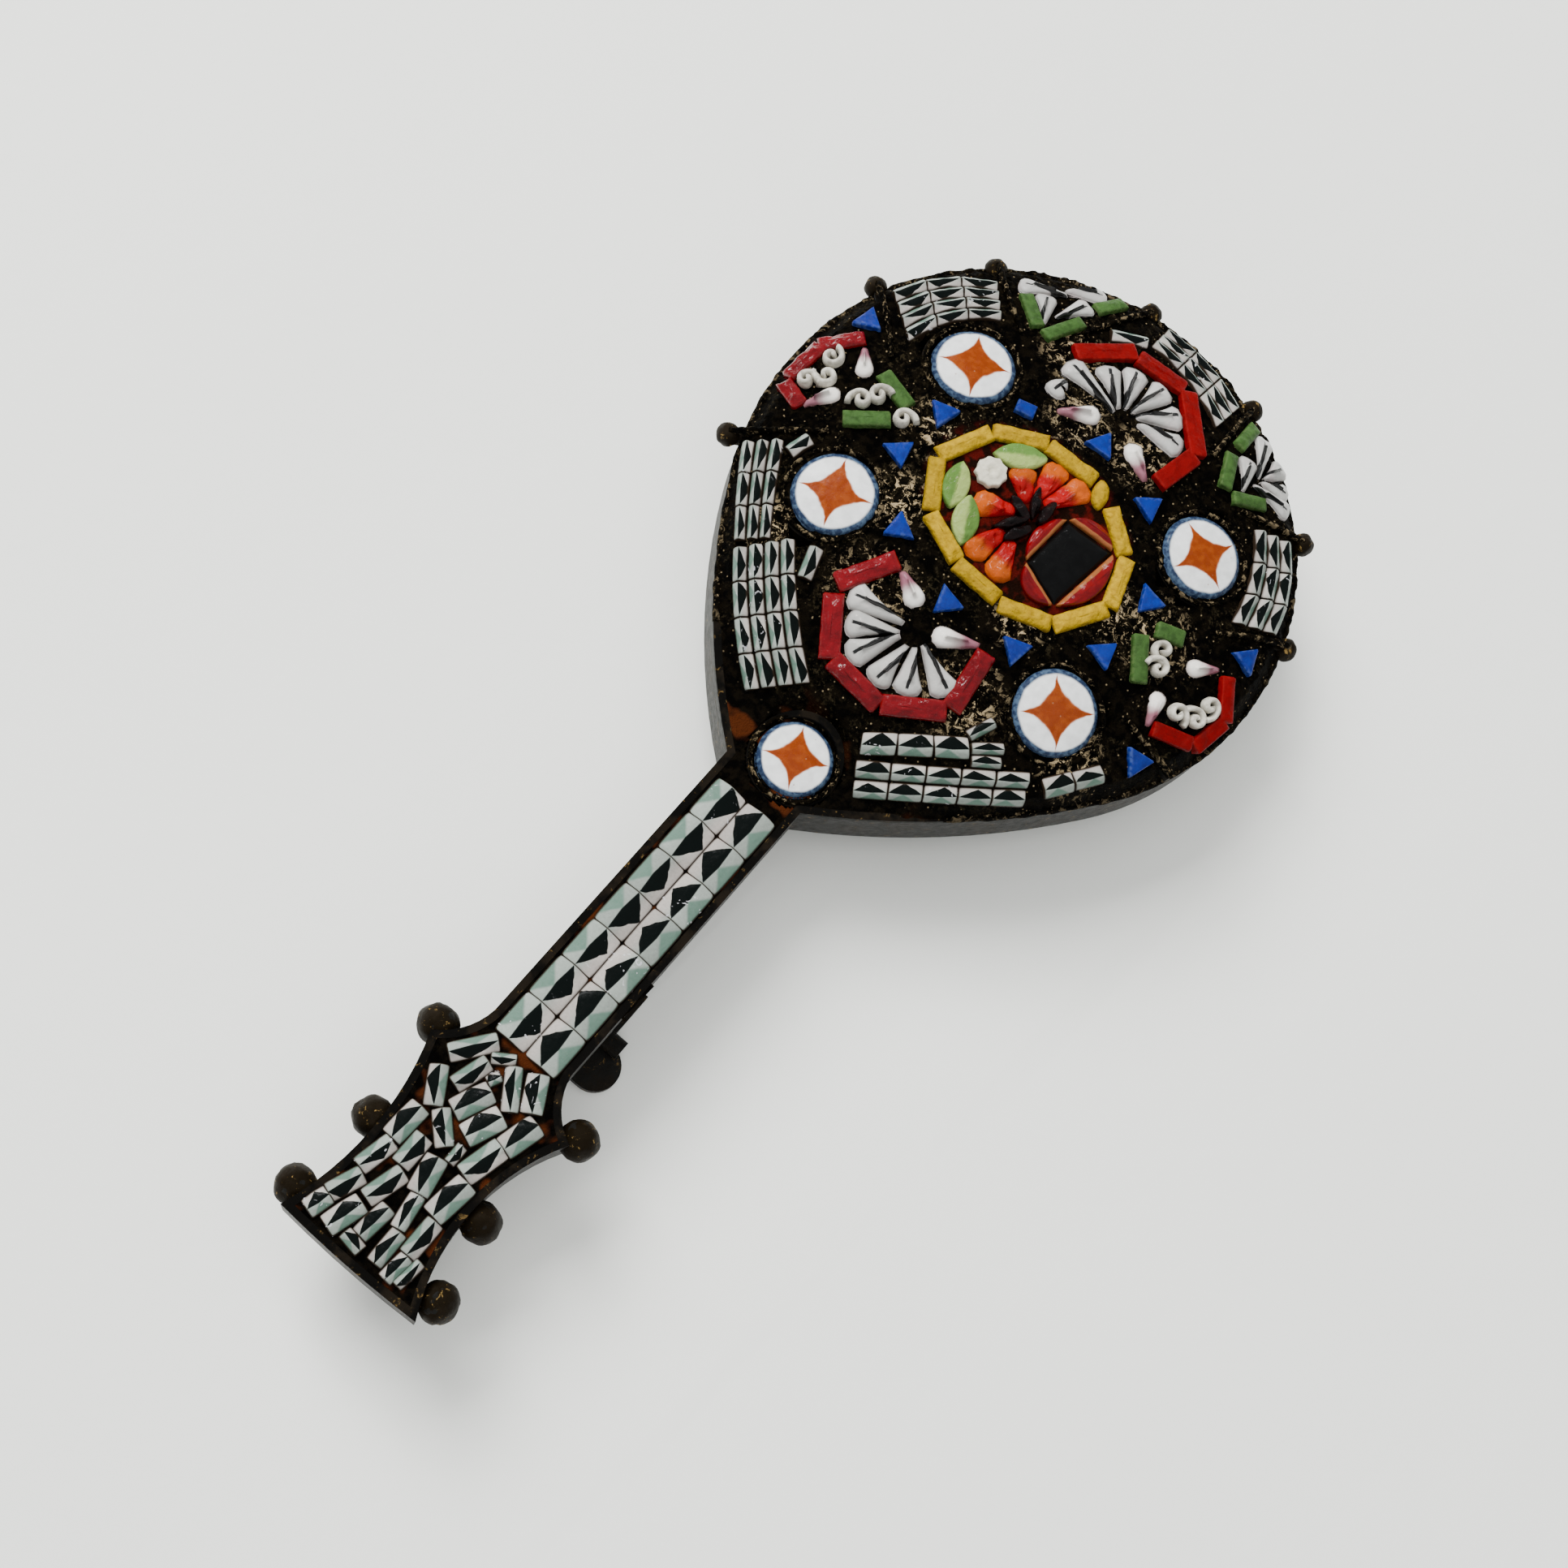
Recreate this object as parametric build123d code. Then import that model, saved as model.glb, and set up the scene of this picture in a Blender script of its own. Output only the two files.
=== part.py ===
from build123d import *

import os
from math import atan, atan2, cos, degrees, hypot, pi, radians, sin
from typing import NamedTuple

# Mandolin-shaped micromosaic brooch, lying face up on the fittings of its pin.
# Millimetres. +Y runs from the peg head to the far end of the body, +X to the right, +Z up.
# The model is worked out round the middle of the round body and moved to its reference point at the end.

# Case outline
body_radius = 12.15
body_centre_distance = 0.7
left_flank_angle = 34.0
right_flank_angle = 32.5
left_bulge = 0.4
left_bulge_start_angle = 12.0
neck_pivot_overhang = 1.55
neck_pivot_offset = -0.2
neck_lean = 3.3
neck_start = 1.6
neck_left_half_width = 2.05
neck_right_half_width = 1.78
head_start = 15.5
head_length = 10.6
head_half_width = 3.2
head_left_shoulder_reach_share = 1.047
head_right_shoulder_reach_share = 1.078
head_left_waist_reach_share = 0.781
head_right_waist_reach_share = 0.728
head_left_end_reach_share = 0.984
head_right_end_reach_share = 1.0625
shoulder_sweep_share = 0.25
head_left_shoulder_share = 0.2
head_right_shoulder_share = 0.19
head_left_waist_share = 0.6
head_right_waist_share = 0.53
head_corner_share = 0.99

# Case heights
pin_room = 2.8
plate_thickness = 0.6
wall_height = 2.6
wall_thickness = 0.32

# Soldered balls and knobs
peg_ball_radius = 0.79
peg_ball_drop = 0.95
left_peg_balls = ((0.159, 1.05), (0.555, 0.89), (0.905, 1.02))
right_peg_balls = ((0.143, 1.13), (0.586, 0.87), (0.886, 1.11))
knob_radius = 0.45
knob_foot_length = 1.2
knob_foot_width = 0.45

# Cell walls inside the case
cell_wall_thickness = 0.3
cell_wall_proud = 0.25
star_ring_gap = 0.12
star_ring_thickness = 0.25

# Dome of the stones' upper faces and how the stones stand
dome_rise = 2.6
dome_overhang = 1.65
dome_power = 3.0
neck_rise = 0.3
stone_height = 0.6
seat_gap = 0.05
fit_gap = 0.06
joint_gap = 0.1

# Pin fittings on the back
leaf_along = 13.7
leaf_width = 2.1
leaf_reach = 3.15
leaf_back_reach = 1.6
leaf_thickness = 0.45
leaf_web_length = 1.9
barrel_radius = 0.42
barrel_length = 1.9
barrel_bore_radius = 0.27
barrel_height = 0.82
tongue_length = 1.9
tongue_width = 0.7
pin_radius = 0.22
catch_distance = 7.6
catch_width = 3.4
catch_length = 2.6
catch_thickness = 0.45
catch_lip = 0.75
pin_overrun = 1.4

# Stone sizes
star_radius = 1.82
neck_star_radius = 1.6
triangle_radius = 0.72
ring_bar_width = 0.72
ring_corner_gap = 0.2
crescent_gap = 0.12
picture_petal_width = 0.9
stamen_width = 0.4
picture_leaf_width = 0.84
ring_leaf_width = 0.66
rosette_radius = 0.7
rosette_teeth = 9
shell_bar_width = 0.72
shell_corner_gap = 0.14
shell_petal_width = 0.8
drop_width = 0.88
small_drop_width = 0.72
cell_bar_width = 0.55
green_bar_width = 0.6
curl_radius = 0.34
curl_wall = 0.15
flower_leaf_width = 0.5
flower_petal_width = 0.6
neck_cane_width = 1.4
neck_cane_pitch = 1.91
neck_cane_start = 3.64
neck_cane_count = 7
neck_cane_shift = -0.1
thin_cane_width = 0.42
chip_length = 0.8
chip_width = 0.55

# Distances worked out from the body's radius
dome_reach = body_radius + dome_overhang
neck_pivot_distance = body_radius + neck_pivot_overhang

# Levels worked out from the heights
plate_bottom = pin_room
plate_top = plate_bottom + plate_thickness
wall_top = plate_bottom + wall_height
seat_depth = stone_height + seat_gap
neck_stone_top = wall_top + neck_rise
neck_seat = neck_stone_top - seat_depth
tall = wall_top + dome_rise + stone_height


class Spot(NamedTuple):
    """A stone's middle as shares of the body's radius, and its turn in degrees."""
    across: float
    along: float
    turn: float


class Run(NamedTuple):
    """A stone's two ends as shares of the body's radius."""
    across: float
    along: float
    end_across: float
    end_along: float


class Ray(NamedTuple):
    """A petal of a fan: its angle in degrees, its root and its tip as shares of the body's radius."""
    angle: float
    root: float
    reach: float


class Patch(NamedTuple):
    """A field of canes: its four corners and its bulge as shares of the body's radius."""
    outer_start: tuple
    outer_end: tuple
    inner_end: tuple
    inner_start: tuple
    bulge: float
    columns: int
    rows: int


class Cane(NamedTuple):
    """A loose cane of the head: shares of the head's length and of its half width, its size and its turn."""
    along: float
    across: float
    length: float
    width: float
    turn: float


# Where the stones sit
stars = {
    "near_left": Spot(-0.528, -0.403, 0),
    "near_right": Spot(0.519, -0.432, 0),
    "far_left": Spot(-0.511, 0.303, 0),
    "far_right": Spot(0.514, 0.371, 0),
}
triangles = [
    Spot(0.486, 0.094, 28),
    Spot(0.496, -0.165, 81),
    Spot(0.275, -0.379, 56),
    Spot(0.262, 0.353, 76),
    Spot(-0.002, 0.402, 98),
    Spot(0.002, -0.425, 22),
    Spot(-0.288, -0.347, 5),
    Spot(-0.472, -0.140, 77),
    Spot(-0.464, 0.079, 50),
    Spot(-0.893, 0.194, 116),
    Spot(0.868, 0.232, 85),
    Spot(0.831, -0.332, 46),
]
triangle_chip = Spot(-0.275, 0.303, 20)
ring_bars = [
    Run(-0.369, -0.045, -0.302, 0.142),
    Run(-0.295, 0.158, -0.138, 0.260),
    Run(-0.123, 0.259, 0.063, 0.281),
    Run(0.176, 0.244, 0.314, 0.156),
    Run(0.335, 0.144, 0.402, -0.023),
    Run(0.399, -0.043, 0.312, -0.216),
    Run(0.297, -0.226, 0.136, -0.300),
    Run(0.110, -0.292, -0.062, -0.301),
    Run(-0.078, -0.289, -0.243, -0.235),
    Run(-0.258, -0.217, -0.363, -0.066),
]
ring_leaf = Run(0.082, 0.290, 0.147, 0.222)
picture_hub = (-0.016, 0.008)
picture_petals = [
    Ray(137, 0.062, 0.169),
    Ray(98, 0.095, 0.218),
    Ray(70, 0.095, 0.239),
    Ray(212, 0.058, 0.173),
    Ray(259, 0.119, 0.247),
    Ray(287, 0.128, 0.255),
]
picture_stamens = [
    Run(-0.004, 0.029, -0.035, 0.086),
    Run(0.018, 0.035, 0.041, 0.081),
    Run(-0.025, 0.012, -0.069, -0.002),
    Run(-0.014, -0.025, -0.053, -0.092),
    Run(0.004, -0.041, 0.010, -0.099),
]
picture_leaves = [
    Run(-0.236, 0.100, -0.103, 0.206),
    Run(-0.291, -0.018, -0.221, -0.163),
    Run(-0.192, -0.092, -0.105, -0.235),
]
rosette = Spot(-0.202, 0.031, 0)
iris_corners = ((0.099, -0.119), (0.100, 0.097), (0.281, 0.123), (0.263, -0.166))
crescent_depths = (0.045, 0.045, 0.058, 0.052)

near_shell_bars = [
    Run(-0.303, -0.624, -0.218, -0.444),
    Run(-0.280, -0.672, -0.157, -0.830),
    Run(-0.127, -0.831, 0.067, -0.835),
    Run(0.091, -0.824, 0.244, -0.700),
    Run(0.258, -0.668, 0.218, -0.470),
]
near_shell_hub = (-0.004, -0.579)
near_shell_petals = [
    Ray(190, 0.066, 0.239),
    Ray(216, 0.066, 0.216),
    Ray(242, 0.066, 0.222),
    Ray(276, 0.066, 0.204),
    Ray(307, 0.066, 0.198),
    Ray(342, 0.066, 0.222),
]
near_shell_drops = [
    Run(-0.055, -0.504, -0.177, -0.453),
    Run(0.043, -0.542, 0.179, -0.458),
]

far_shell_bars = [
    Run(-0.291, 0.625, -0.161, 0.797),
    Run(-0.122, 0.797, 0.049, 0.830),
    Run(0.086, 0.826, 0.251, 0.653),
    Run(0.252, 0.627, 0.229, 0.458),
]
far_shell_hub = (-0.008, 0.543)
far_shell_petals = [
    Ray(175, 0.066, 0.272),
    Ray(146, 0.066, 0.210),
    Ray(116, 0.066, 0.216),
    Ray(85, 0.066, 0.224),
    Ray(55, 0.066, 0.216),
    Ray(23, 0.066, 0.214),
]
far_shell_drops = [
    Run(-0.079, 0.490, -0.192, 0.390),
    Run(0.062, 0.490, 0.188, 0.422),
]
far_shell_curl = Spot(-0.251, 0.463, 0)

left_cell_bars = [
    Run(-0.947, 0.016, -0.863, 0.112),
    Run(-0.948, -0.147, -0.947, -0.013),
    Run(-0.930, -0.198, -0.852, -0.221),
]
left_cell_drops = [
    Run(-0.753, 0.004, -0.830, 0.092),
    Run(-0.774, -0.103, -0.831, -0.216),
]
left_cell_curls = [
    Spot(-0.882, -0.016, 20),
    Spot(-0.846, -0.084, 160),
    Spot(-0.884, -0.142, 270),
    Spot(-0.696, -0.082, 0),
    Spot(-0.663, -0.027, 120),
    Spot(-0.543, -0.041, 240),
]
left_cell_greens = [
    Run(-0.704, 0.049, -0.572, 0.013),
    Run(-0.689, -0.171, -0.580, -0.076),
]

right_cell_bars = [
    Run(0.867, 0.113, 0.952, 0.025),
    Run(0.955, -0.008, 0.942, -0.123),
    Run(0.914, -0.152, 0.802, -0.206),
]
right_cell_drops = [
    Run(0.737, 0.033, 0.823, 0.117),
    Run(0.728, -0.107, 0.775, -0.218),
]
right_cell_curls = [
    Spot(0.816, -0.115, 60),
    Spot(0.874, -0.076, 200),
    Spot(0.882, -0.004, 300),
    Spot(0.635, 0.002, 90),
    Spot(0.663, -0.059, 210),
]
right_cell_greens = [
    Run(0.548, -0.025, 0.646, -0.138),
    Run(0.576, 0.045, 0.654, 0.086),
]

left_flower_leaves = [
    Run(-0.572, 0.691, -0.467, 0.609),
    Run(-0.414, 0.599, -0.368, 0.745),
    Run(-0.358, 0.856, -0.321, 0.963),
]
left_flower_petals = [
    Run(-0.490, 0.807, -0.609, 0.724),
    Run(-0.459, 0.654, -0.523, 0.741),
    Run(-0.436, 0.708, -0.395, 0.831),
    Run(-0.473, 0.835, -0.388, 0.926),
]
right_flower_leaves = [
    Run(0.337, 0.955, 0.337, 0.831),
    Run(0.347, 0.770, 0.400, 0.650),
    Run(0.454, 0.642, 0.545, 0.726),
]
right_flower_petals = [
    Run(0.453, 0.709, 0.402, 0.811),
    Run(0.457, 0.807, 0.395, 0.947),
    Run(0.490, 0.827, 0.502, 0.914),
    Run(0.486, 0.755, 0.621, 0.793),
    Run(0.502, 0.790, 0.572, 0.848),
]

near_left_upper_canes = Patch((-0.894, -0.457), (-0.664, -0.744), (-0.575, -0.661), (-0.788, -0.361), 0.006, 3, 3)
near_left_canes = Patch((-0.649, -0.764), (-0.282, -1.086), (-0.135, -0.930), (-0.515, -0.608), 0.018, 4, 4)
near_left_chips = [Run(-0.726, -0.309, -0.745, -0.386), Run(-0.437, -0.590, -0.399, -0.690)]
near_right_canes = Patch((0.226, -1.098), (0.658, -0.726), (0.597, -0.627), (0.146, -1.004), 0.008, 5, 2)
near_right_inner_canes = Patch((0.143, -0.993), (0.424, -0.749), (0.364, -0.701), (0.100, -0.927), 0.000, 3, 1)
near_right_chips = [Run(0.365, -0.697, 0.391, -0.609), Run(0.401, -0.718, 0.475, -0.647),
                    Run(0.430, -0.747, 0.500, -0.685)]
near_right_pair = Patch((0.694, -0.658), (0.804, -0.464), (0.748, -0.434), (0.634, -0.616), 0.000, 2, 1)
far_left_canes = Patch((-0.926, 0.362), (-0.687, 0.667), (-0.565, 0.530), (-0.735, 0.215), 0.040, 3, 4)
far_right_canes = Patch((0.712, 0.712), (0.893, 0.395), (0.742, 0.278), (0.577, 0.623), 0.029, 3, 3)
far_end_canes = Patch((-0.138, 1.024), (0.245, 0.979), (0.238, 0.814), (-0.134, 0.890), 0.029, 3, 3)
far_end_chips = [Run(-0.257, 0.799, -0.157, 0.888)]

head_canes = [
    Cane(0.152, -0.53, 1.80, 0.66, 57),
    Cane(0.338, -0.56, 1.46, 0.66, 126),
    Cane(0.227, -0.34, 1.42, 0.62, 78),
    Cane(0.114, -0.17, 0.85, 0.37, 38),
    Cane(0.190, -0.10, 0.44, 0.37, 70),
    Cane(0.176, 0.14, 1.62, 0.58, 128),
    Cane(0.135, 0.38, 1.41, 0.77, 123),
    Cane(0.298, -0.12, 1.47, 0.83, 71),
    Cane(0.502, -0.54, 1.46, 0.79, 91),
    Cane(0.435, -0.17, 1.35, 0.63, 140),
    Cane(0.339, 0.17, 1.47, 0.88, 72),
    Cane(0.282, 0.58, 1.44, 0.86, 79),
    Cane(0.433, 0.44, 1.63, 0.83, 80),
    Cane(0.563, -0.26, 1.26, 0.71, 94),
    Cane(0.593, 0.06, 1.40, 0.82, 105),
    Cane(0.476, 0.15, 0.67, 0.36, 95),
    Cane(0.653, -0.55, 1.39, 0.65, 82),
    Cane(0.714, -0.23, 1.53, 0.68, 79),
    Cane(0.796, -0.58, 1.28, 0.65, 73),
    Cane(0.903, -0.68, 0.83, 0.66, 79),
    Cane(0.877, -0.36, 1.41, 0.78, 78),
    Cane(0.829, -0.05, 1.34, 0.61, 88),
    Cane(0.730, 0.17, 1.31, 0.54, 103),
    Cane(0.605, 0.44, 1.64, 0.88, 87),
    Cane(0.926, -0.08, 0.79, 0.44, -5),
    Cane(0.867, 0.26, 1.32, 0.57, 95),
    Cane(0.768, 0.49, 1.45, 0.64, 94),
    Cane(0.899, 0.49, 1.03, 0.51, 89),
    Cane(0.886, 0.65, 1.07, 0.34, 88),
]

# Cell walls from the rim inwards, and whether each ends in a knob at the rim
cell_walls = [
    Run(-0.223, 1.033, -0.330, 0.712),
    Run(0.280, 1.025, 0.296, 0.708),
    Run(-0.728, 0.737, -0.486, 0.543),
    Run(0.737, 0.765, 0.502, 0.626),
    Run(-0.975, 0.354, -0.733, 0.123),
    Run(0.942, 0.412, 0.724, 0.206),
    Run(-0.947, -0.444, -0.691, -0.239),
    Run(0.947, -0.263, 0.708, -0.263),
]
cell_walls_without_knob = (7,)


def leaning(along, across=0.0):
    """Point of the neck and head, measured along and across their leaning middle line."""
    lean = radians(neck_lean)
    return (neck_pivot_offset + along * sin(lean) + across * cos(lean),
            -neck_pivot_distance - along * cos(lean) + across * sin(lean))


def dome_height(x, y):
    """Height of the stones' upper faces over the wall's top."""
    share = min(1.0, hypot(x, y) / dome_reach)
    return max(neck_rise, dome_rise * (1 - share ** dome_power))


def dome_slope(radius):
    """Fall of the dome at a radius, as an angle."""
    return atan(dome_power * dome_rise * radius ** (dome_power - 1) / dome_reach ** dome_power)


def dome_normal(x, y):
    """Direction in which a stone at this place stands."""
    radius = hypot(x, y)
    flat = dome_rise * (1 - min(1.0, radius / dome_reach) ** dome_power) <= neck_rise
    if radius == 0 or flat:
        return Vector(0, 0, 1)
    slope = dome_slope(radius)
    return Vector(sin(slope) * x / radius, sin(slope) * y / radius, cos(slope))


def stone_plane(x, y, turn=0.0):
    """Plane of a stone's upper face, its X direction turned from the frame's."""
    normal = dome_normal(x, y)
    heading = Vector(cos(radians(turn)), sin(radians(turn)), 0)
    return Plane(origin=(x, y, wall_top + dome_height(x, y)), x_dir=heading - normal * heading.dot(normal),
                 z_dir=normal)


def stone(shape, x, y, turn=0.0):
    """Stands a flat shape on the dome as a prism that reaches down to its seat."""
    solid = extrude(shape, amount=-stone_height)
    return (stone_plane(x, y, turn) * solid).solid()


def loop_face(points):
    """Flat face through straight edges."""
    return make_face(Polyline(*points, close=True))


def bar_face(length, width):
    """Bar with straight sides."""
    return Rectangle(length, width).face()


def drop_face(length, width):
    """Drop with a round head at -X and its tip at +X."""
    radius = width / 2
    head = -length / 2 + radius
    turns = (70, 105, 140, 180, 220, 255, 290)
    points = [(head + radius * cos(radians(a)), radius * sin(radians(a))) for a in turns]
    return loop_face(points + [(length / 2, -radius / 4), (length / 2, radius / 4)])


def petal_face(length, width):
    """Petal with a narrow root at -X and a round tip at +X."""
    radius = width / 2
    tip = length / 2 - radius
    turns = (-75, -40, 0, 40, 75)
    points = [(tip + radius * cos(radians(a)), radius * sin(radians(a))) for a in turns]
    return loop_face(points + [(-length / 2, radius / 3), (-length / 2, -radius / 3)])


def leaf_face(length, width):
    """Leaf between two arcs."""
    upper = ThreePointArc((-length / 2, 0), (0, width / 2), (length / 2, 0))
    lower = ThreePointArc((length / 2, 0), (0, -width / 2), (-length / 2, 0))
    return make_face(upper + lower)


def crescent_face(chord, depth):
    """Circle segment on a straight chord."""
    side = Line((-chord / 2, 0), (chord / 2, 0))
    return make_face(side + ThreePointArc((chord / 2, 0), (0, depth), (-chord / 2, 0)))


def curl_face():
    """Open ring of a rolled cane."""
    return Circle(curl_radius).face() - Circle(curl_radius - curl_wall).face() - Pos(curl_radius, 0) * Rectangle(
        curl_radius, curl_wall)


def rosette_face():
    """Round slice with a toothed edge."""
    points = []
    for step in range(2 * rosette_teeth):
        radius = rosette_radius * (1.0 if step % 2 else 0.86)
        angle = pi * step / rosette_teeth
        points.append((radius * cos(angle), radius * sin(angle)))
    return loop_face(points)


def triangle_face():
    """Triangle with its three corners at one radius."""
    return RegularPolygon(triangle_radius, 3).face()


def ends_of(run):
    """The two ends of a run in millimetres."""
    return ((run.across * body_radius, run.along * body_radius),
            (run.end_across * body_radius, run.end_along * body_radius))


def along_run(run, maker, width, spare=0.0):
    """Stone between the two ends of a run."""
    (x1, y1), (x2, y2) = ends_of(run)
    length = hypot(x2 - x1, y2 - y1) - spare
    turn = degrees(atan2(y2 - y1, x2 - x1))
    return stone(maker(length, width), (x1 + x2) / 2, (y1 + y2) / 2, turn)


def at_spot(spot, face):
    """Stone at a spot."""
    return stone(face, spot.across * body_radius, spot.along * body_radius, spot.turn)


def fan(hub, rays, width):
    """Petals round a hub, each from its root to its tip."""
    petals = []
    for ray in rays:
        length = (ray.reach - ray.root) * body_radius
        middle = (ray.root + ray.reach) / 2
        x = (hub[0] + middle * cos(radians(ray.angle))) * body_radius
        y = (hub[1] + middle * sin(radians(ray.angle))) * body_radius
        petals.append(stone(petal_face(length, width), x, y, ray.angle))
    return petals


def quad_stone(corners):
    """Prism over four corners given in plan, standing on the dome at their middle."""
    x = sum(c[0] for c in corners) / 4
    y = sum(c[1] for c in corners) / 4
    plane = stone_plane(x, y)
    normal = plane.z_dir
    local = []
    for cx, cy in corners:
        height = -((cx - x) * normal.X + (cy - y) * normal.Y) / normal.Z
        point = plane.to_local_coords(Vector(cx, cy, plane.origin.Z + height))
        local.append((point.X, point.Y))
    return (plane * extrude(loop_face(local), amount=-stone_height)).solid()


def patch_point(patch, along, across):
    """Point of a field of canes, from 0 to 1 along it and from its outer to its inner edge."""
    def blend(a, b, t):
        return (a[0] + (b[0] - a[0]) * t, a[1] + (b[1] - a[1]) * t)
    outer = blend(patch.outer_start, patch.outer_end, along)
    inner = blend(patch.inner_start, patch.inner_end, along)
    place = blend(outer, inner, across)
    side = (patch.outer_end[0] - patch.outer_start[0], patch.outer_end[1] - patch.outer_start[1])
    out = (outer[0] - inner[0], outer[1] - inner[1])
    length = hypot(*side)
    normal = (side[1] / length, -side[0] / length)
    sign = 1 if normal[0] * out[0] + normal[1] * out[1] > 0 else -1
    swell = 4 * along * (1 - along) * patch.bulge * sign
    return ((place[0] + normal[0] * swell) * body_radius, (place[1] + normal[1] * swell) * body_radius)


def shrunk(corners, gap):
    """Four corners drawn in by half a joint on every side."""
    x = sum(c[0] for c in corners) / 4
    y = sum(c[1] for c in corners) / 4
    sides = [hypot(corners[i][0] - corners[i - 1][0], corners[i][1] - corners[i - 1][1]) for i in range(4)]
    along = 1 - gap / ((sides[1] + sides[3]) / 2)
    across = 1 - gap / ((sides[0] + sides[2]) / 2)
    first = [(corners[1][i] + corners[2][i] - corners[0][i] - corners[3][i]) / 4 for i in range(2)]
    second = [(corners[2][i] + corners[3][i] - corners[0][i] - corners[1][i]) / 4 for i in range(2)]
    signs = ((-1, -1), (1, -1), (1, 1), (-1, 1))
    return [(x + a * along * first[0] + b * across * second[0], y + a * along * first[1] + b * across * second[1])
            for a, b in signs]


def cane_field(patch):
    """Canes of one field, side by side in rows."""
    canes = []
    for column in range(patch.columns):
        for row in range(patch.rows):
            a0, a1 = column / patch.columns, (column + 1) / patch.columns
            b0, b1 = row / patch.rows, (row + 1) / patch.rows
            corners = [patch_point(patch, a0, b0), patch_point(patch, a1, b0), patch_point(patch, a1, b1),
                       patch_point(patch, a0, b1)]
            canes.append(quad_stone(shrunk(corners, joint_gap * 1.5)))
    return canes


def case_face():
    """Outline of the whole case, seen from above."""
    def on_body(sign, angle, reach):
        """Point of the body's side at an angle under the level of its middle."""
        return (sign * reach * cos(radians(angle)), body_centre_distance - reach * sin(radians(angle)))

    right_end = on_body(1, right_flank_angle, body_radius)
    left_end = on_body(-1, left_flank_angle, body_radius + left_bulge)
    right_join = leaning(neck_start, neck_right_half_width)
    left_join = leaning(neck_start, -neck_left_half_width)
    round_side = ThreePointArc(right_end, (0, body_centre_distance + body_radius),
                               on_body(-1, -left_bulge_start_angle, body_radius))
    left_side = TangentArc(round_side @ 1, left_end, tangent=round_side % 1)
    left_flank = TangentArc(left_end, left_join, tangent=left_side % 1)
    right_flank = TangentArc(right_end, right_join, tangent=-(round_side % 0))
    corner = head_start + head_corner_share * head_length

    def side(sign, neck, shoulder_share, shoulder_reach, waist_share, waist_reach, end_reach):
        """Points of the head on one side, from the neck to the end's corner."""
        shoulder = head_start + shoulder_share * head_length
        shoulder_width = shoulder_reach * head_half_width
        root = leaning(head_start, sign * neck)
        sweep = neck + (shoulder_width - neck) * shoulder_sweep_share
        turn_in = leaning((head_start + shoulder) / 2, sign * sweep)
        tip = leaning(shoulder, sign * shoulder_width)
        narrow = leaning(head_start + waist_share * head_length, sign * waist_reach * head_half_width)
        last = leaning(corner, sign * end_reach * head_half_width)
        return root, turn_in, tip, narrow, last

    left = side(-1, neck_left_half_width, head_left_shoulder_share, head_left_shoulder_reach_share,
                head_left_waist_share, head_left_waist_reach_share, head_left_end_reach_share)
    right = side(1, neck_right_half_width, head_right_shoulder_share, head_right_shoulder_reach_share,
                 head_right_waist_share, head_right_waist_reach_share, head_right_end_reach_share)
    edges = [
        round_side,
        left_side,
        left_flank,
        Line(left_join, left[0]),
        ThreePointArc(left[0], left[1], left[2]),
        ThreePointArc(left[2], left[3], left[4]),
        ThreePointArc(left[4], leaning(head_start + head_length), right[4]),
        ThreePointArc(right[4], right[3], right[2]),
        ThreePointArc(right[2], right[1], right[0]),
        Line(right[0], right_join),
        right_flank,
    ]
    return Face(Wire(edges))


def inset_face(face, amount):
    """The case's outline drawn in by one amount."""
    return offset(face, -amount, kind=Kind.INTERSECTION).face()


def raised(face, bottom, top):
    """Prism over a flat face between two levels."""
    return Pos(0, 0, bottom) * extrude(face, amount=top - bottom)


def dome_solid(depth):
    """Solid under the dome, its skin a depth below the stones' upper faces."""
    samples = 7
    skin = []
    for step in range(samples):
        radius = dome_reach * step / (samples - 1)
        slope = dome_slope(radius)
        height = wall_top + dome_rise * (1 - (radius / dome_reach) ** dome_power)
        skin.append((radius - depth * sin(slope), height - depth * cos(slope)))
    curve = Spline(*skin, tangents=[(1, 0), (cos(dome_slope(dome_reach)), -sin(dome_slope(dome_reach)))])
    foot = [skin[-1], (skin[-1][0], 0), (0, 0), skin[0]]
    profile = make_face(Plane.XZ * (curve + Polyline(*foot)))
    return revolve(profile, Axis.Z)


def wall_strip(run, thickness):
    """Plan of one cell wall, a straight strip."""
    (x1, y1), (x2, y2) = ends_of(run)
    turn = degrees(atan2(y2 - y1, x2 - x1))
    middle = Location(((x1 + x2) / 2, (y1 + y2) / 2, 0), (0, 0, turn))
    return middle * Rectangle(hypot(x2 - x1, y2 - y1) + thickness, thickness)


def star_places():
    """Name, place and radius of each star disc."""
    places = [(name, spot.across * body_radius, spot.along * body_radius, star_radius)
              for name, spot in stars.items()]
    return places + [("neck", 0.0, -neck_pivot_distance, neck_star_radius)]


def cell_wall_solid(grow=0.0):
    """All cell walls, as tall as the case, each side grown by the same amount."""
    solids = []
    for run in cell_walls:
        strip = wall_strip(run, cell_wall_thickness + 2 * grow)
        solids.append(raised(strip, plate_top - fit_gap, tall))
    for _, x, y, radius in star_places():
        inner = radius + star_ring_gap - grow
        outer = radius + star_ring_gap + star_ring_thickness + grow
        ring = Circle(outer) - Circle(inner)
        solids.append(Pos(x, y) * raised(ring, plate_top - fit_gap, tall))
    return solids


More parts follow.
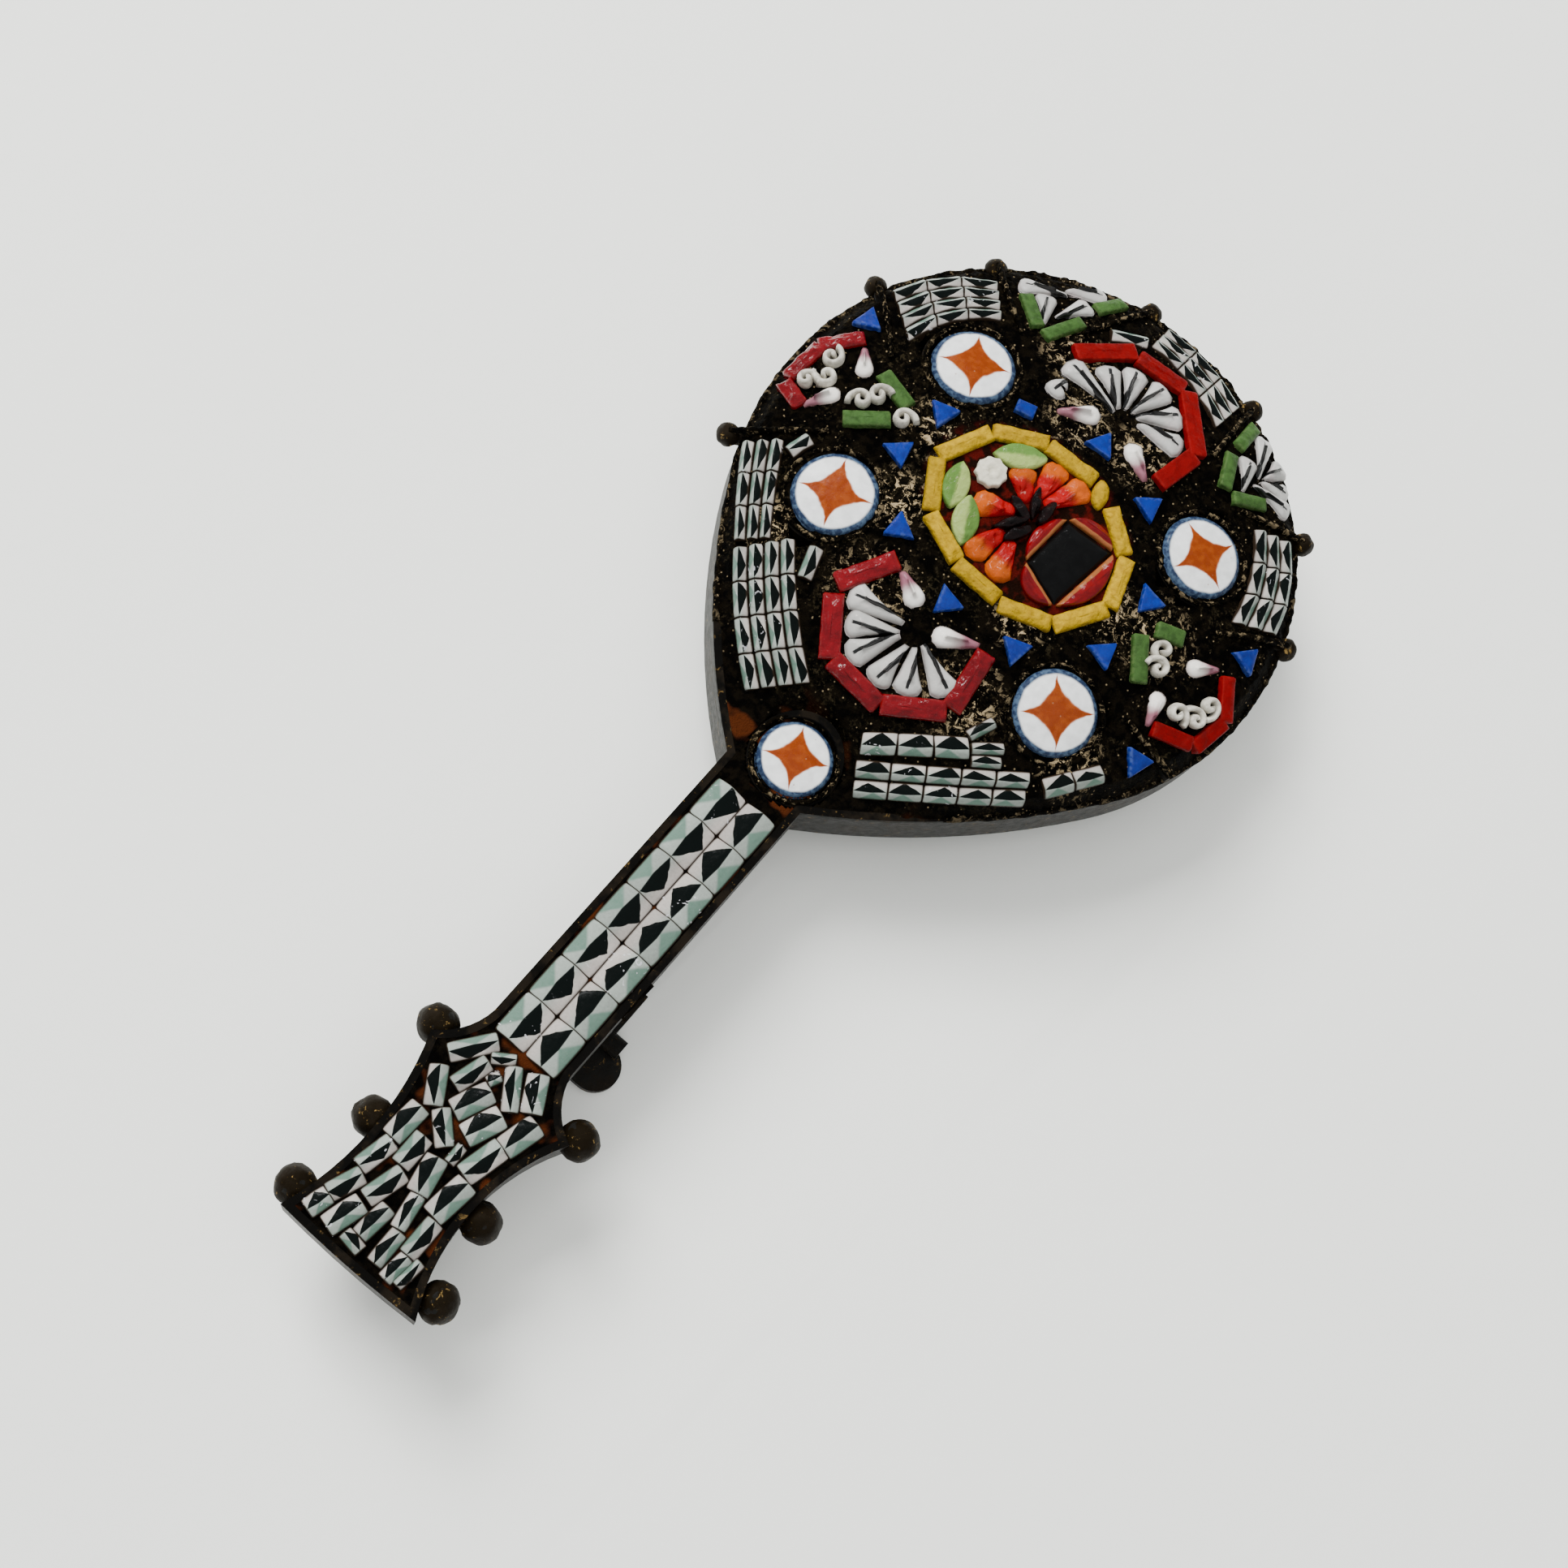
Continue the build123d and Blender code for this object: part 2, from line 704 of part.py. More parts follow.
def build_fittings():
    """Hinge leaf with its barrel and the catch, soldered under the back plate."""
    turn = -neck_lean
    x, y = leaning(leaf_along)
    place = Location((x, y, 0), (0, 0, -turn))
    length = leaf_reach + leaf_back_reach
    middle = (leaf_reach - leaf_back_reach) / 2
    leaf = Pos(middle, 0) * SlotOverall(length, leaf_width)
    leaf = extrude(leaf, amount=leaf_thickness)
    web = raised(Pos(-leaf_web_length / 4, 0) * Rectangle(leaf_web_length, leaf_width * 0.8), leaf_thickness / 2,
                 plate_bottom + plate_thickness / 2)
    barrel_y = leaf_width / 2
    tube = Circle(barrel_radius) - Circle(barrel_bore_radius)
    barrel = Location((leaf_reach - barrel_length - barrel_radius * 1.5, barrel_y, barrel_height), (0, 90, 0)) * extrude(
        tube, amount=barrel_length)
    tongue = raised(Pos(neck_right_half_width - tongue_width / 4, barrel_y + tongue_length / 2)
                    * Rectangle(tongue_width, tongue_length), plate_bottom - plate_thickness / 2,
                    plate_bottom + plate_thickness / 2)
    bore = Location((leaf_reach - barrel_length * 2, barrel_y, barrel_height), (0, 90, 0)) * extrude(
        Circle(barrel_bore_radius), amount=barrel_length * 3)
    hinge = place * ((leaf + web + barrel + tongue) - bore)
    outer = Rectangle(catch_width, pin_room + plate_thickness)
    half = catch_width / 2
    room_height = pin_room - 2 * catch_thickness
    room = Pos(-catch_thickness / 2, catch_thickness + room_height / 2) * Rectangle(
        catch_width - catch_thickness, room_height)
    mouth = Pos(-half + catch_thickness / 2, catch_thickness + catch_lip + (room_height - catch_lip) / 2)
    mouth = mouth * Rectangle(catch_thickness * 2, room_height - catch_lip)
    lip = Pos(-half + catch_thickness / 2, catch_thickness + catch_lip / 2) * Rectangle(catch_thickness, catch_lip)
    profile = (Pos(0, (pin_room + plate_thickness / 2) / 2) * Rectangle(catch_width, pin_room + plate_thickness / 2)
               - room - mouth) + lip
    catch = Pos(0, catch_distance + catch_length / 2) * extrude(Plane.XZ * profile, amount=catch_length)
    return hinge, catch


def ball(x, y, z, radius, outward):
    """Ball whose seam lies on the side that an angle in degrees gives, away from the wall."""
    return Location((x, y, z), (0, 0, outward)) * Sphere(radius)


def build_case(outline):
    """Soldered metal: back plate, side wall, cell walls, balls, knobs and the pin's fittings."""
    inner = inset_face(outline, wall_thickness)
    shell = raised(outline, plate_bottom, wall_top) - raised(inner, plate_top, wall_top + wall_height)
    knobs = []
    for sign, places in ((-1, left_peg_balls), (1, right_peg_balls)):
        for along, across in places:
            x, y = leaning(head_start + along * head_length, sign * across * head_half_width)
            knobs.append(ball(x, y, wall_top - peg_ball_drop, peg_ball_radius, (1 - sign) * 90))
    for number, run in enumerate(cell_walls):
        if number in cell_walls_without_knob:
            continue
        (x, y), (end_x, end_y) = ends_of(run)
        share = knob_foot_length / hypot(end_x - x, end_y - y)
        foot = Run(run.across, run.along, run.across + (run.end_across - run.across) * share,
                   run.along + (run.end_along - run.along) * share)
        knobs.append(ball(x, y, wall_top, knob_radius, degrees(atan2(y, x))))
        knobs.append(raised(wall_strip(foot, knob_foot_width), wall_top - knob_radius, wall_top + knob_radius / 3))
    core = raised(inset_face(outline, wall_thickness / 2), 0, tall)
    for knob in knobs:
        shell = shell + (knob - core)
    under_skin = dome_solid(seat_depth - cell_wall_proud)
    flat_top = raised(inner, plate_top - fit_gap, neck_seat + cell_wall_proud)
    walls = Part() + cell_wall_solid()
    walls = (walls & (raised(outline, 0, tall) & under_skin)) + (walls & flat_top)
    hinge, catch = build_fittings()
    return (shell + walls + hinge + catch).solid()


def build_cement(outline):
    """Cement that fills the case, domed under the body's stones and flat in the neck and head."""
    inner = inset_face(outline, wall_thickness + fit_gap)
    low = raised(inner, plate_top + fit_gap, neck_seat)
    high = raised(inner, plate_top + fit_gap, tall) & dome_solid(seat_depth)
    grown = Part() + cell_wall_solid(fit_gap)
    pocket = Pos(0, -neck_pivot_distance) * raised(Circle(neck_star_radius + fit_gap), neck_seat, tall)
    return (low + high) - grown - pocket


def build_pin():
    """One bent wire: across the hinge barrel, round a corner and along the back to the catch."""
    barrel_along = leaf_along - leaf_width / 2
    corner_across = leaf_reach - barrel_length - barrel_radius * 1.5 - pin_radius * 2
    corner_x, corner_y = leaning(barrel_along, corner_across)
    tip_x, tip_y = leaning(barrel_along, leaf_reach - barrel_radius * 1.5)
    far_y = catch_distance + catch_length / 2 + pin_overrun
    path = FilletPolyline((tip_x, tip_y, barrel_height), (corner_x, corner_y, barrel_height),
                          (0, far_y, barrel_height), radius=pin_radius * 1.6)
    section = Plane(origin=path @ 0, z_dir=path % 0) * Circle(pin_radius)
    return sweep(section, path=path)


def build_ring():
    """Bars round the middle picture, with one leaf among them."""
    stones = [along_run(run, bar_face, ring_bar_width, ring_corner_gap) for run in ring_bars]
    return stones + [along_run(ring_leaf, leaf_face, ring_leaf_width)]


def build_crescents():
    """Crescents on the four sides of the dark eye, their straight edges towards it."""
    stones = []
    corners = [(x * body_radius, y * body_radius) for x, y in iris_corners]
    for number, depth in enumerate(crescent_depths):
        (x1, y1), (x2, y2) = corners[number], corners[(number + 1) % 4]
        length = hypot(x2 - x1, y2 - y1)
        along = ((x2 - x1) / length, (y2 - y1) / length)
        out = (-along[1], along[0])
        x = (x1 + x2) / 2 + out[0] * crescent_gap
        y = (y1 + y2) / 2 + out[1] * crescent_gap
        turn = degrees(atan2(along[1], along[0]))
        stones.append(stone(crescent_face(length - crescent_gap, depth * body_radius), x, y, turn))
    return stones


def build_neck_canes():
    """Two columns of canes along the neck."""
    canes = []
    column = neck_cane_width / 2 + joint_gap / 2
    for sign in (-1, 1):
        for number in range(neck_cane_count):
            x, y = leaning(neck_cane_start + neck_cane_pitch * number, neck_cane_shift + sign * column)
            face = bar_face(neck_cane_pitch - joint_gap, neck_cane_width)
            canes.append(stone(face, x, y, 90 + neck_lean))
    return canes


def build_head_canes():
    """Loose canes of the head, each at its own turn."""
    canes = []
    for cane in head_canes:
        x, y = leaning(head_start + cane.along * head_length, cane.across * head_half_width)
        canes.append(stone(bar_face(cane.length, cane.width), x, y, cane.turn))
    return canes


def runs(rows, maker, width, spare=0.0):
    """Stones of one kind between the ends that a table gives."""
    return [along_run(row, maker, width, spare) for row in rows]


def collect():
    """All pieces by name, round the middle of the body."""
    outline = case_face()
    pieces = {
        "case": [build_case(outline)],
        "cement": build_cement(outline).solids(),
        "pin_stem": [build_pin()],
        "medallion_bars": build_ring(),
        "medallion_disc": [quad_stone([(x * body_radius, y * body_radius) for x, y in iris_corners])],
        "medallion_crescents": build_crescents(),
        "medallion_petals": fan(picture_hub, picture_petals, picture_petal_width),
        "medallion_stamens": runs(picture_stamens, leaf_face, stamen_width),
        "medallion_leaves": runs(picture_leaves, leaf_face, picture_leaf_width),
        "medallion_flower": [at_spot(rosette, rosette_face())],
        "blue_triangles": [at_spot(spot, triangle_face()) for spot in triangles]
        + [at_spot(triangle_chip, bar_face(chip_length, chip_width))],
        "near_shell_bars": runs(near_shell_bars, bar_face, shell_bar_width, shell_corner_gap),
        "near_shell_petals": fan(near_shell_hub, near_shell_petals, shell_petal_width),
        "near_shell_drops": runs(near_shell_drops, drop_face, drop_width),
        "far_shell_bars": runs(far_shell_bars, bar_face, shell_bar_width, shell_corner_gap),
        "far_shell_petals": fan(far_shell_hub, far_shell_petals, shell_petal_width)
        + [at_spot(far_shell_curl, curl_face())],
        "far_shell_drops": runs(far_shell_drops, drop_face, drop_width),
        "left_cell_bars": runs(left_cell_bars, bar_face, cell_bar_width),
        "left_cell_green_bars": runs(left_cell_greens, bar_face, green_bar_width),
        "left_cell_drops": runs(left_cell_drops, drop_face, small_drop_width),
        "left_cell_curls": [at_spot(spot, curl_face()) for spot in left_cell_curls],
        "right_cell_bars": runs(right_cell_bars, bar_face, cell_bar_width),
        "right_cell_green_bars": runs(right_cell_greens, bar_face, green_bar_width),
        "right_cell_drops": runs(right_cell_drops, drop_face, small_drop_width),
        "right_cell_curls": [at_spot(spot, curl_face()) for spot in right_cell_curls],
        "left_flower_leaves": runs(left_flower_leaves, bar_face, flower_leaf_width),
        "left_flower_petals": runs(left_flower_petals, petal_face, flower_petal_width),
        "right_flower_leaves": runs(right_flower_leaves, bar_face, flower_leaf_width),
        "right_flower_petals": runs(right_flower_petals, petal_face, flower_petal_width),
        "neck_canes": build_neck_canes(),
        "head_canes": build_head_canes(),
        "near_left_canes": cane_field(near_left_canes) + cane_field(near_left_upper_canes)
        + runs(near_left_chips, bar_face, chip_width),
        "near_right_canes": cane_field(near_right_canes) + cane_field(near_right_inner_canes)
        + cane_field(near_right_pair) + runs(near_right_chips, bar_face, thin_cane_width),
        "far_left_canes": cane_field(far_left_canes),
        "far_right_canes": cane_field(far_right_canes),
        "far_end_canes": cane_field(far_end_canes) + runs(far_end_chips, bar_face, chip_width),
    }
    for name, x, y, radius in star_places():
        pieces["star_disc_" + name] = [stone(Circle(radius).face(), x, y)]
    return pieces


def main():
    """Builds the pieces, moves them to the reference point and writes one file for each."""
    pieces = collect()
    box = pieces["case"][0].bounding_box()
    shift = Location((-(box.min.X + box.max.X) / 2, -(box.min.Y + box.max.Y) / 2, -box.min.Z))
    os.makedirs("parts", exist_ok=True)
    for name, solids in pieces.items():
        moved = [shift * solid for solid in solids]
        node = moved[0] if len(moved) == 1 else Compound(children=moved)
        export_step(node, f"parts/{name}.step")
    print("middle of the body is moved by", tuple(round(v, 4) for v in shift.position))
    print("solids", sum(len(solids) for solids in pieces.values()), "nodes", len(pieces))


main()
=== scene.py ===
"""Looks of a mandolin-shaped micromosaic brooch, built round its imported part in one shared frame."""

import logging
import math
import random
from dataclasses import KW_ONLY, dataclass, field
from enum import Enum
from typing import Any, Callable, Iterable, Sequence

import bpy
import numpy as np
from mathutils import Matrix, Vector, noise
from mathutils.bvhtree import BVHTree


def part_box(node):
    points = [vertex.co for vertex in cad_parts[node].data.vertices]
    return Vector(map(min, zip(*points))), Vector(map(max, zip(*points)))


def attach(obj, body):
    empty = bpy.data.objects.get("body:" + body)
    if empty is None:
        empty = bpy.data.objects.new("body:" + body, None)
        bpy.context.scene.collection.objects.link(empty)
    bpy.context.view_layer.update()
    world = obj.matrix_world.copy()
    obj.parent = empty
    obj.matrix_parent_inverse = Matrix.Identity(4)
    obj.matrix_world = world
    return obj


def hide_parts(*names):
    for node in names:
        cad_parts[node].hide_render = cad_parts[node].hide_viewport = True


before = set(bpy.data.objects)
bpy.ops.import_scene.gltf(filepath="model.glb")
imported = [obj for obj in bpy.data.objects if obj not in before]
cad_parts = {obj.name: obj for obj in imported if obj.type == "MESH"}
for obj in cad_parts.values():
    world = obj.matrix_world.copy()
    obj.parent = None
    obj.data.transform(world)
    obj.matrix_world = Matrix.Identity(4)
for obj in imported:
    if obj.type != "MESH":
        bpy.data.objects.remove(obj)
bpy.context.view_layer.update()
LOG = logging.getLogger("brooch")
MM = 0.001
TURN = 2 * math.pi
BODY_RADIUS = 12.15
BODY_MIDDLE = (0.0731, 13.4163)
WALL_TOP = 5.4
DOME_RISE = 2.6
DOME_REACH = 13.8
DOME_POWER = 3.0
NECK_RISE = 0.3
NECK_START = BODY_MIDDLE[1] - 13.7
NECK_OFFSET = BODY_MIDDLE[0] - 0.2
NECK_LEAN = math.radians(3.3)
NECK_DISC_REACH = 1.9
NECK_DISC_BLEND = 0.5
BELOW_ALL = -1.0
UP = np.array([0.0, 0.0, 1.0])
STRAND_VALLEY = 0.62
STRAND_POWER = 0.8
EVEN_CHANCE = (0.5, 0.5, 0.5)

Colour = tuple[float, float, float, float]
Face = tuple[int, ...]
Relief = Callable[[np.ndarray], np.ndarray]


def rgb(red: float, green: float, blue: float) -> Colour:
    """Opaque colour from linear red, green and blue."""
    return (red, green, blue, 1.0)


def held(value: float) -> float:
    """The value, held between 0 and 1."""
    return min(1.0, max(0.0, value))


def draws(rng: random.Random) -> list[float]:
    """The three random numbers that set one shape apart from the next."""
    return [rng.random() for _ in range(3)]


def on_body(across: float, along: float) -> np.ndarray:
    """Place in plan from shares of the body's radius, in millimetres."""
    return np.array([across, along]) * BODY_RADIUS + BODY_MIDDLE


def dome_top(x: float, y: float) -> float:
    """Level of the stones' upper faces.

    Args:
        x: place in the row frame, in millimetres.
        y: place in the row frame, in millimetres.

    Returns:
        The level in millimetres.
    """
    radius = math.hypot(x - BODY_MIDDLE[0], y - BODY_MIDDLE[1])
    rise = max(NECK_RISE, DOME_RISE * (1 - (radius / DOME_REACH) ** DOME_POWER))
    from_disc = math.hypot(x - BODY_MIDDLE[0], y - NECK_START) - NECK_DISC_REACH
    return WALL_TOP + NECK_RISE + (rise - NECK_RISE) * held(from_disc / NECK_DISC_BLEND)


def case_tree() -> BVHTree:
    """The case's faces, for casting rays at them, in metres."""
    return BVHTree.FromObject(bpy.data.objects["case"], bpy.context.evaluated_depsgraph_get())


class Slot(Enum):
    """Material slot names, one passed to each piece."""

    METAL = "oxidised_brass"
    CEMENT = "dark_cement"
    MUSTARD = "mustard_glass"
    BLACK = "black_glass"
    RED = "red_glass"
    ORANGE = "orange_red_glass"
    GREEN = "green_glass"
    WHITE = "white_glass"
    BLUE = "blue_glass"
    ROSE = "rose_white_glass"
    CANE = "cane_glass"
    STAR = "star_glass"


def arithmetic(operation: str, swapped: bool = False) -> Callable[["Socket", Any], "Socket"]:
    """Makes a method of Socket that adds a Math node.

    Args:
        operation: the node's operation.
        swapped: whether the socket is the second operand.

    Returns:
        The method.
    """

    def method(socket: "Socket", other: Any) -> "Socket":
        """The node's result."""
        operands = (other, socket) if swapped else (socket, other)
        return socket.math(operation, *operands)

    return method


class Socket:
    """A shader socket whose Python arithmetic adds Math nodes."""

    def __init__(self, graph: "Graph", link: bpy.types.NodeSocket) -> None:
        """Keeps the graph and the socket that the value comes from."""
        self.graph = graph
        self.link = link

    def math(self, operation: str, *values: Any) -> "Socket":
        """Adds a Math node of sockets or numbers."""
        return self.graph.node("ShaderNodeMath", {"operation": operation}, dict(enumerate(values)))

    __add__, __radd__ = arithmetic("ADD"), arithmetic("ADD", swapped=True)
    __sub__, __rsub__ = arithmetic("SUBTRACT"), arithmetic("SUBTRACT", swapped=True)
    __mul__, __rmul__ = arithmetic("MULTIPLY"), arithmetic("MULTIPLY", swapped=True)
    __truediv__, __pow__ = arithmetic("DIVIDE"), arithmetic("POWER")
    larger = arithmetic("MAXIMUM")

    def __neg__(self) -> "Socket":
        """Opposite."""
        return self * -1.0

    def __abs__(self) -> "Socket":
        """Absolute value."""
        return self.math("ABSOLUTE", self)

    def step(self, low: float, high: float) -> "Socket":
        """Smooth step from 0 at the low value to 1 at the high one."""
        inputs = {"Value": self, "From Min": low, "From Max": high}
        return self.graph.node("ShaderNodeMapRange", {"interpolation_type": "SMOOTHSTEP"}, inputs)


class Graph:
    """The node graph of one material."""

    def __init__(self, name: str) -> None:
        """Starts a material with an empty graph."""
        self.material = bpy.data.materials.new(name)
        self.material.use_nodes = True
        self.tree = self.material.node_tree
        self.tree.nodes.clear()

    def node(self, kind: str, settings: dict[str, Any] | None = None, inputs: dict[Any, Any] | None = None,
             output: int | str = 0) -> Socket:
        """Adds any node.

        Args:
            kind: the node's type.
            settings: its properties, set first.
            inputs: values or sockets by input name or number.
            output: name or number of the output that is returned.

        Returns:
            The output as a socket.
        """
        made = self.tree.nodes.new(kind)
        for name, value in (settings or {}).items():
            setattr(made, name, value)
        for key, value in (inputs or {}).items():
            if isinstance(value, Socket):
                self.tree.links.new(value.link, made.inputs[key])
            else:
                made.inputs[key].default_value = value
        return Socket(self, made.outputs[output])

    def position(self) -> Socket:
        """Place on the object in millimetres."""
        found = self.node("ShaderNodeTexCoord", output="Object")
        return self.node("ShaderNodeVectorMath", {"operation": "SCALE"}, {0: found, "Scale": 1 / MM})

    def stretched(self, place: Socket, scale: tuple[float, float, float]) -> Socket:
        """Place with each axis scaled."""
        return self.node("ShaderNodeVectorMath", {"operation": "MULTIPLY"}, {0: place, 1: scale})

    def parts(self, vector: Socket) -> tuple[Socket, Socket, Socket]:
        """The three numbers of a vector."""
        split = self.tree.nodes.new("ShaderNodeSeparateXYZ")
        self.tree.links.new(vector.link, split.inputs[0])
        return tuple(Socket(self, out) for out in split.outputs)

    def kept(self, name: str) -> tuple[Socket, Socket, Socket]:
        """The three numbers that the mesh keeps under a name."""
        return self.parts(self.node("ShaderNodeAttribute", {"attribute_name": name}, output="Vector"))

    def noise(self, place: Socket, scale: float, detail: float = 2.0, roughness: float = 0.5,
              distortion: float = 0.0) -> Socket:
        """Noise between about 0.3 and 0.7.

        Args:
            place: where it is read.
            scale: features per millimetre.
            detail: number of octaves.
            roughness: strength of the finer octaves.
            distortion: how much the place is stirred.

        Returns:
            The noise's value.
        """
        inputs = {"Vector": place, "Scale": scale, "Detail": detail, "Roughness": roughness, "Distortion": distortion}
        return self.node("ShaderNodeTexNoise", None, inputs, "Fac")

    def stir(self, place: Socket, scale: float, detail: float, amount: float) -> Socket:
        """Noise round 0, as strong as the amount."""
        return (self.noise(place, scale, detail) - 0.5) * amount

    def cells(self, place: Socket, scale: float) -> Socket:
        """Distance to the nearest of many scattered points."""
        return self.node("ShaderNodeTexVoronoi", {"feature": "F1"}, {"Vector": place, "Scale": scale}, "Distance")

    def mix(self, factor: Any, first: Any, second: Any, blend: str = "MIX") -> Socket:
        """Colour mix.

        Args:
            factor: share of the second colour.
            first: colour or socket.
            second: colour or socket.
            blend: how the two are joined.

        Returns:
            The mixed colour.
        """
        settings = {"data_type": "RGBA", "blend_type": blend}
        return self.node("ShaderNodeMix", settings, {"Factor": factor, 6: first, 7: second}, 2)

    def shade(self, colour: Any, amount: Socket) -> Socket:
        """Colour made lighter or darker by a value round 1."""
        grey = self.node("ShaderNodeCombineXYZ", None, {0: amount, 1: amount, 2: amount})
        return self.mix(1.0, colour, grey, "MULTIPLY")


@dataclass(frozen=True)
class Finish:
    """A surface's look; each kind paints its own colour, relief and roughness."""

    name: str
    _: KW_ONLY
    roughness: float = 0.3
    metallic: float = 0.0
    coat: float = 0.0
    coat_roughness: float = 0.05
    specular: float = 0.5
    bump: float = 0.4
    bump_depth: float = 0.12

    def material(self) -> bpy.types.Material:
        """The material, made on first use."""
        label = self.name + "_finish"
        return bpy.data.materials.get(label) or self.build(Graph(label))

    def paint(self, graph: Graph) -> tuple[Socket, Socket, Any]:
        """Colour, relief and roughness of the surface."""
        raise NotImplementedError

    def build(self, graph: Graph) -> bpy.types.Material:
        """Closes the graph with one principled shader.

        Args:
            graph: the material's graph.

        Returns:
            The finished material.
        """
        colour, relief, rough = self.paint(graph)
        bump = {"Strength": self.bump, "Distance": self.bump_depth * MM, "Height": relief}
        shader = graph.node("ShaderNodeBsdfPrincipled", None, {
            "Base Color": colour, "Roughness": rough, "Metallic": self.metallic, "Coat Weight": self.coat,
            "Coat Roughness": self.coat_roughness, "Specular IOR Level": self.specular,
            "Normal": graph.node("ShaderNodeBump", None, bump),
        })
        out = graph.tree.nodes.new("ShaderNodeOutputMaterial")
        graph.tree.links.new(shader.link, out.inputs["Surface"])
        return graph.material


@dataclass(frozen=True)
class PlainGlass(Finish):
    """Opaque glass of one colour with slight clouds, pits and worn edges."""

    colour: Colour
    shade_colour: Colour
    edge: Colour | None = None
    _: KW_ONLY
    roughness: float = 0.16
    coat: float = 0.4
    coat_roughness: float = 0.06
    specular: float = 0.4
    bump: float = 0.35
    grain: float = 3.0
    darkest: float = 0.86
    spread: float = 0.28
    edge_wear: float = 0.6
    pit_depth: float = 0.15
    matt_patches: float = 0.25

    def paint(self, graph: Graph) -> tuple[Socket, Socket, Any]:
        """Colour, relief and roughness of the surface."""
        place = graph.position()
        _, _, rim = graph.kept("place")
        chance, _, _ = graph.kept("chance")
        clouds = graph.noise(place, self.grain, 4.0, 0.6, 0.4)
        colour = graph.mix(clouds.step(0.35, 0.7), self.colour, self.shade_colour)
        colour = graph.shade(colour, self.darkest + chance * self.spread)
        if self.edge is not None:
            worn = (1 - rim.step(0.0, 0.35)) * graph.noise(place, 5.0).step(0.42, 0.6)
            colour = graph.mix(worn * self.edge_wear, colour, self.edge)
        pits = graph.cells(place, 6.0).step(0.0, 0.25)
        relief = graph.noise(place, 4.0, 3.0) + pits * self.pit_depth
        patches = graph.noise(place, 6.0, 3.0).step(0.5, 0.75)
        return colour, relief, self.roughness + patches * self.matt_patches


@dataclass(frozen=True)
class CaneGlass(Finish):
    """Patterned cane: pale glass, a black triangle on the ridge and a grey-green one on the outer facet."""

    pale: Colour = rgb(0.205, 0.230, 0.205)
    cream: Colour = rgb(0.30, 0.275, 0.25)
    black: Colour = rgb(0.0008, 0.0018, 0.0015)
    green: Colour = rgb(0.075, 0.130, 0.100)
    joint: Colour = rgb(0.016, 0.010, 0.006)
    chipped: Colour = rgb(0.45, 0.45, 0.47)
    ridge: float = 0.45
    black_reach: float = 0.97
    black_height: float = 0.78
    black_spread: float = 0.30
    green_reach: float = 0.80
    lean: float = 0.9
    wander: float = 0.16
    _: KW_ONLY
    coat: float = 0.06
    coat_roughness: float = 0.08
    specular: float = 0.14
    bump_depth: float = 0.10

    def paint(self, graph: Graph) -> tuple[Socket, Socket, Any]:
        """Colour, relief and roughness of the surface."""
        place = graph.position()
        along, across, rim = graph.kept("place")
        chance, tilt, tone = graph.kept("chance")
        stir = graph.stir(place, 2.2, 2.0, self.wander)
        streaks = graph.noise(graph.stretched(place, (1.0, 1.0, 0.4)), 9.0, 3.0, 0.7)
        body = graph.mix((across - self.ridge).step(0.0, 0.4), self.pale, self.cream)
        body = graph.shade(body, 0.62 + streaks * 0.44 + tone * 0.30)
        slope = (1 - abs(along + (chance - 0.5) * 0.5) / self.green_reach).larger(0.0)
        green = (slope * 0.40 - across + stir * 0.5 + 0.05).step(-0.04, 0.08)
        colour = graph.mix(green * (0.75 + streaks * 0.4), body, self.green)
        colour = graph.mix(self.triangle(along, across, stir, chance, tilt), colour, self.black)
        colour = graph.mix((1 - rim).step(0.05, 0.75), colour, self.joint)
        chip = graph.noise(place, 3.2, 2.0, 0.5, 1.2).step(0.66, 0.70) * (tone - 0.5).step(0.1, 0.3)
        colour = graph.mix(chip * 0.7, colour, self.chipped)
        relief = graph.noise(place, 6.0, 3.0) * 0.5 + streaks * 0.15 + chip * 0.6
        rough = self.roughness + graph.noise(place, 5.0, 3.0).step(0.45, 0.75) * 0.3
        return colour, relief, rough

    def triangle(self, along: Socket, across: Socket, stir: Socket, chance: Socket, tilt: Socket) -> Socket:
        """Share of black at a place.

        Args:
            along: place along the cane, from -1 to 1.
            across: place across it, 0 at the outer side and 1 at the inner one.
            stir: noise that bends the borders.
            chance: random number for the triangle's height.
            tilt: random number for the triangle's lean.

        Returns:
            The share.
        """
        beyond = (across - self.ridge) / (1 - self.ridge)
        reach = (1 - abs(along + (tilt - 0.5) * self.lean * beyond) / self.black_reach).larger(0.0)
        inner = (across - self.ridge - stir * 0.3) / (1 - self.ridge)
        height = reach ** 0.8 * (self.black_height + chance * self.black_spread)
        under = (height - inner + stir * 0.9).step(-0.01, 0.04)
        over = (inner + 0.10 + stir * 0.4 - abs(along) * 0.10).step(-0.01, 0.04)
        return under * over


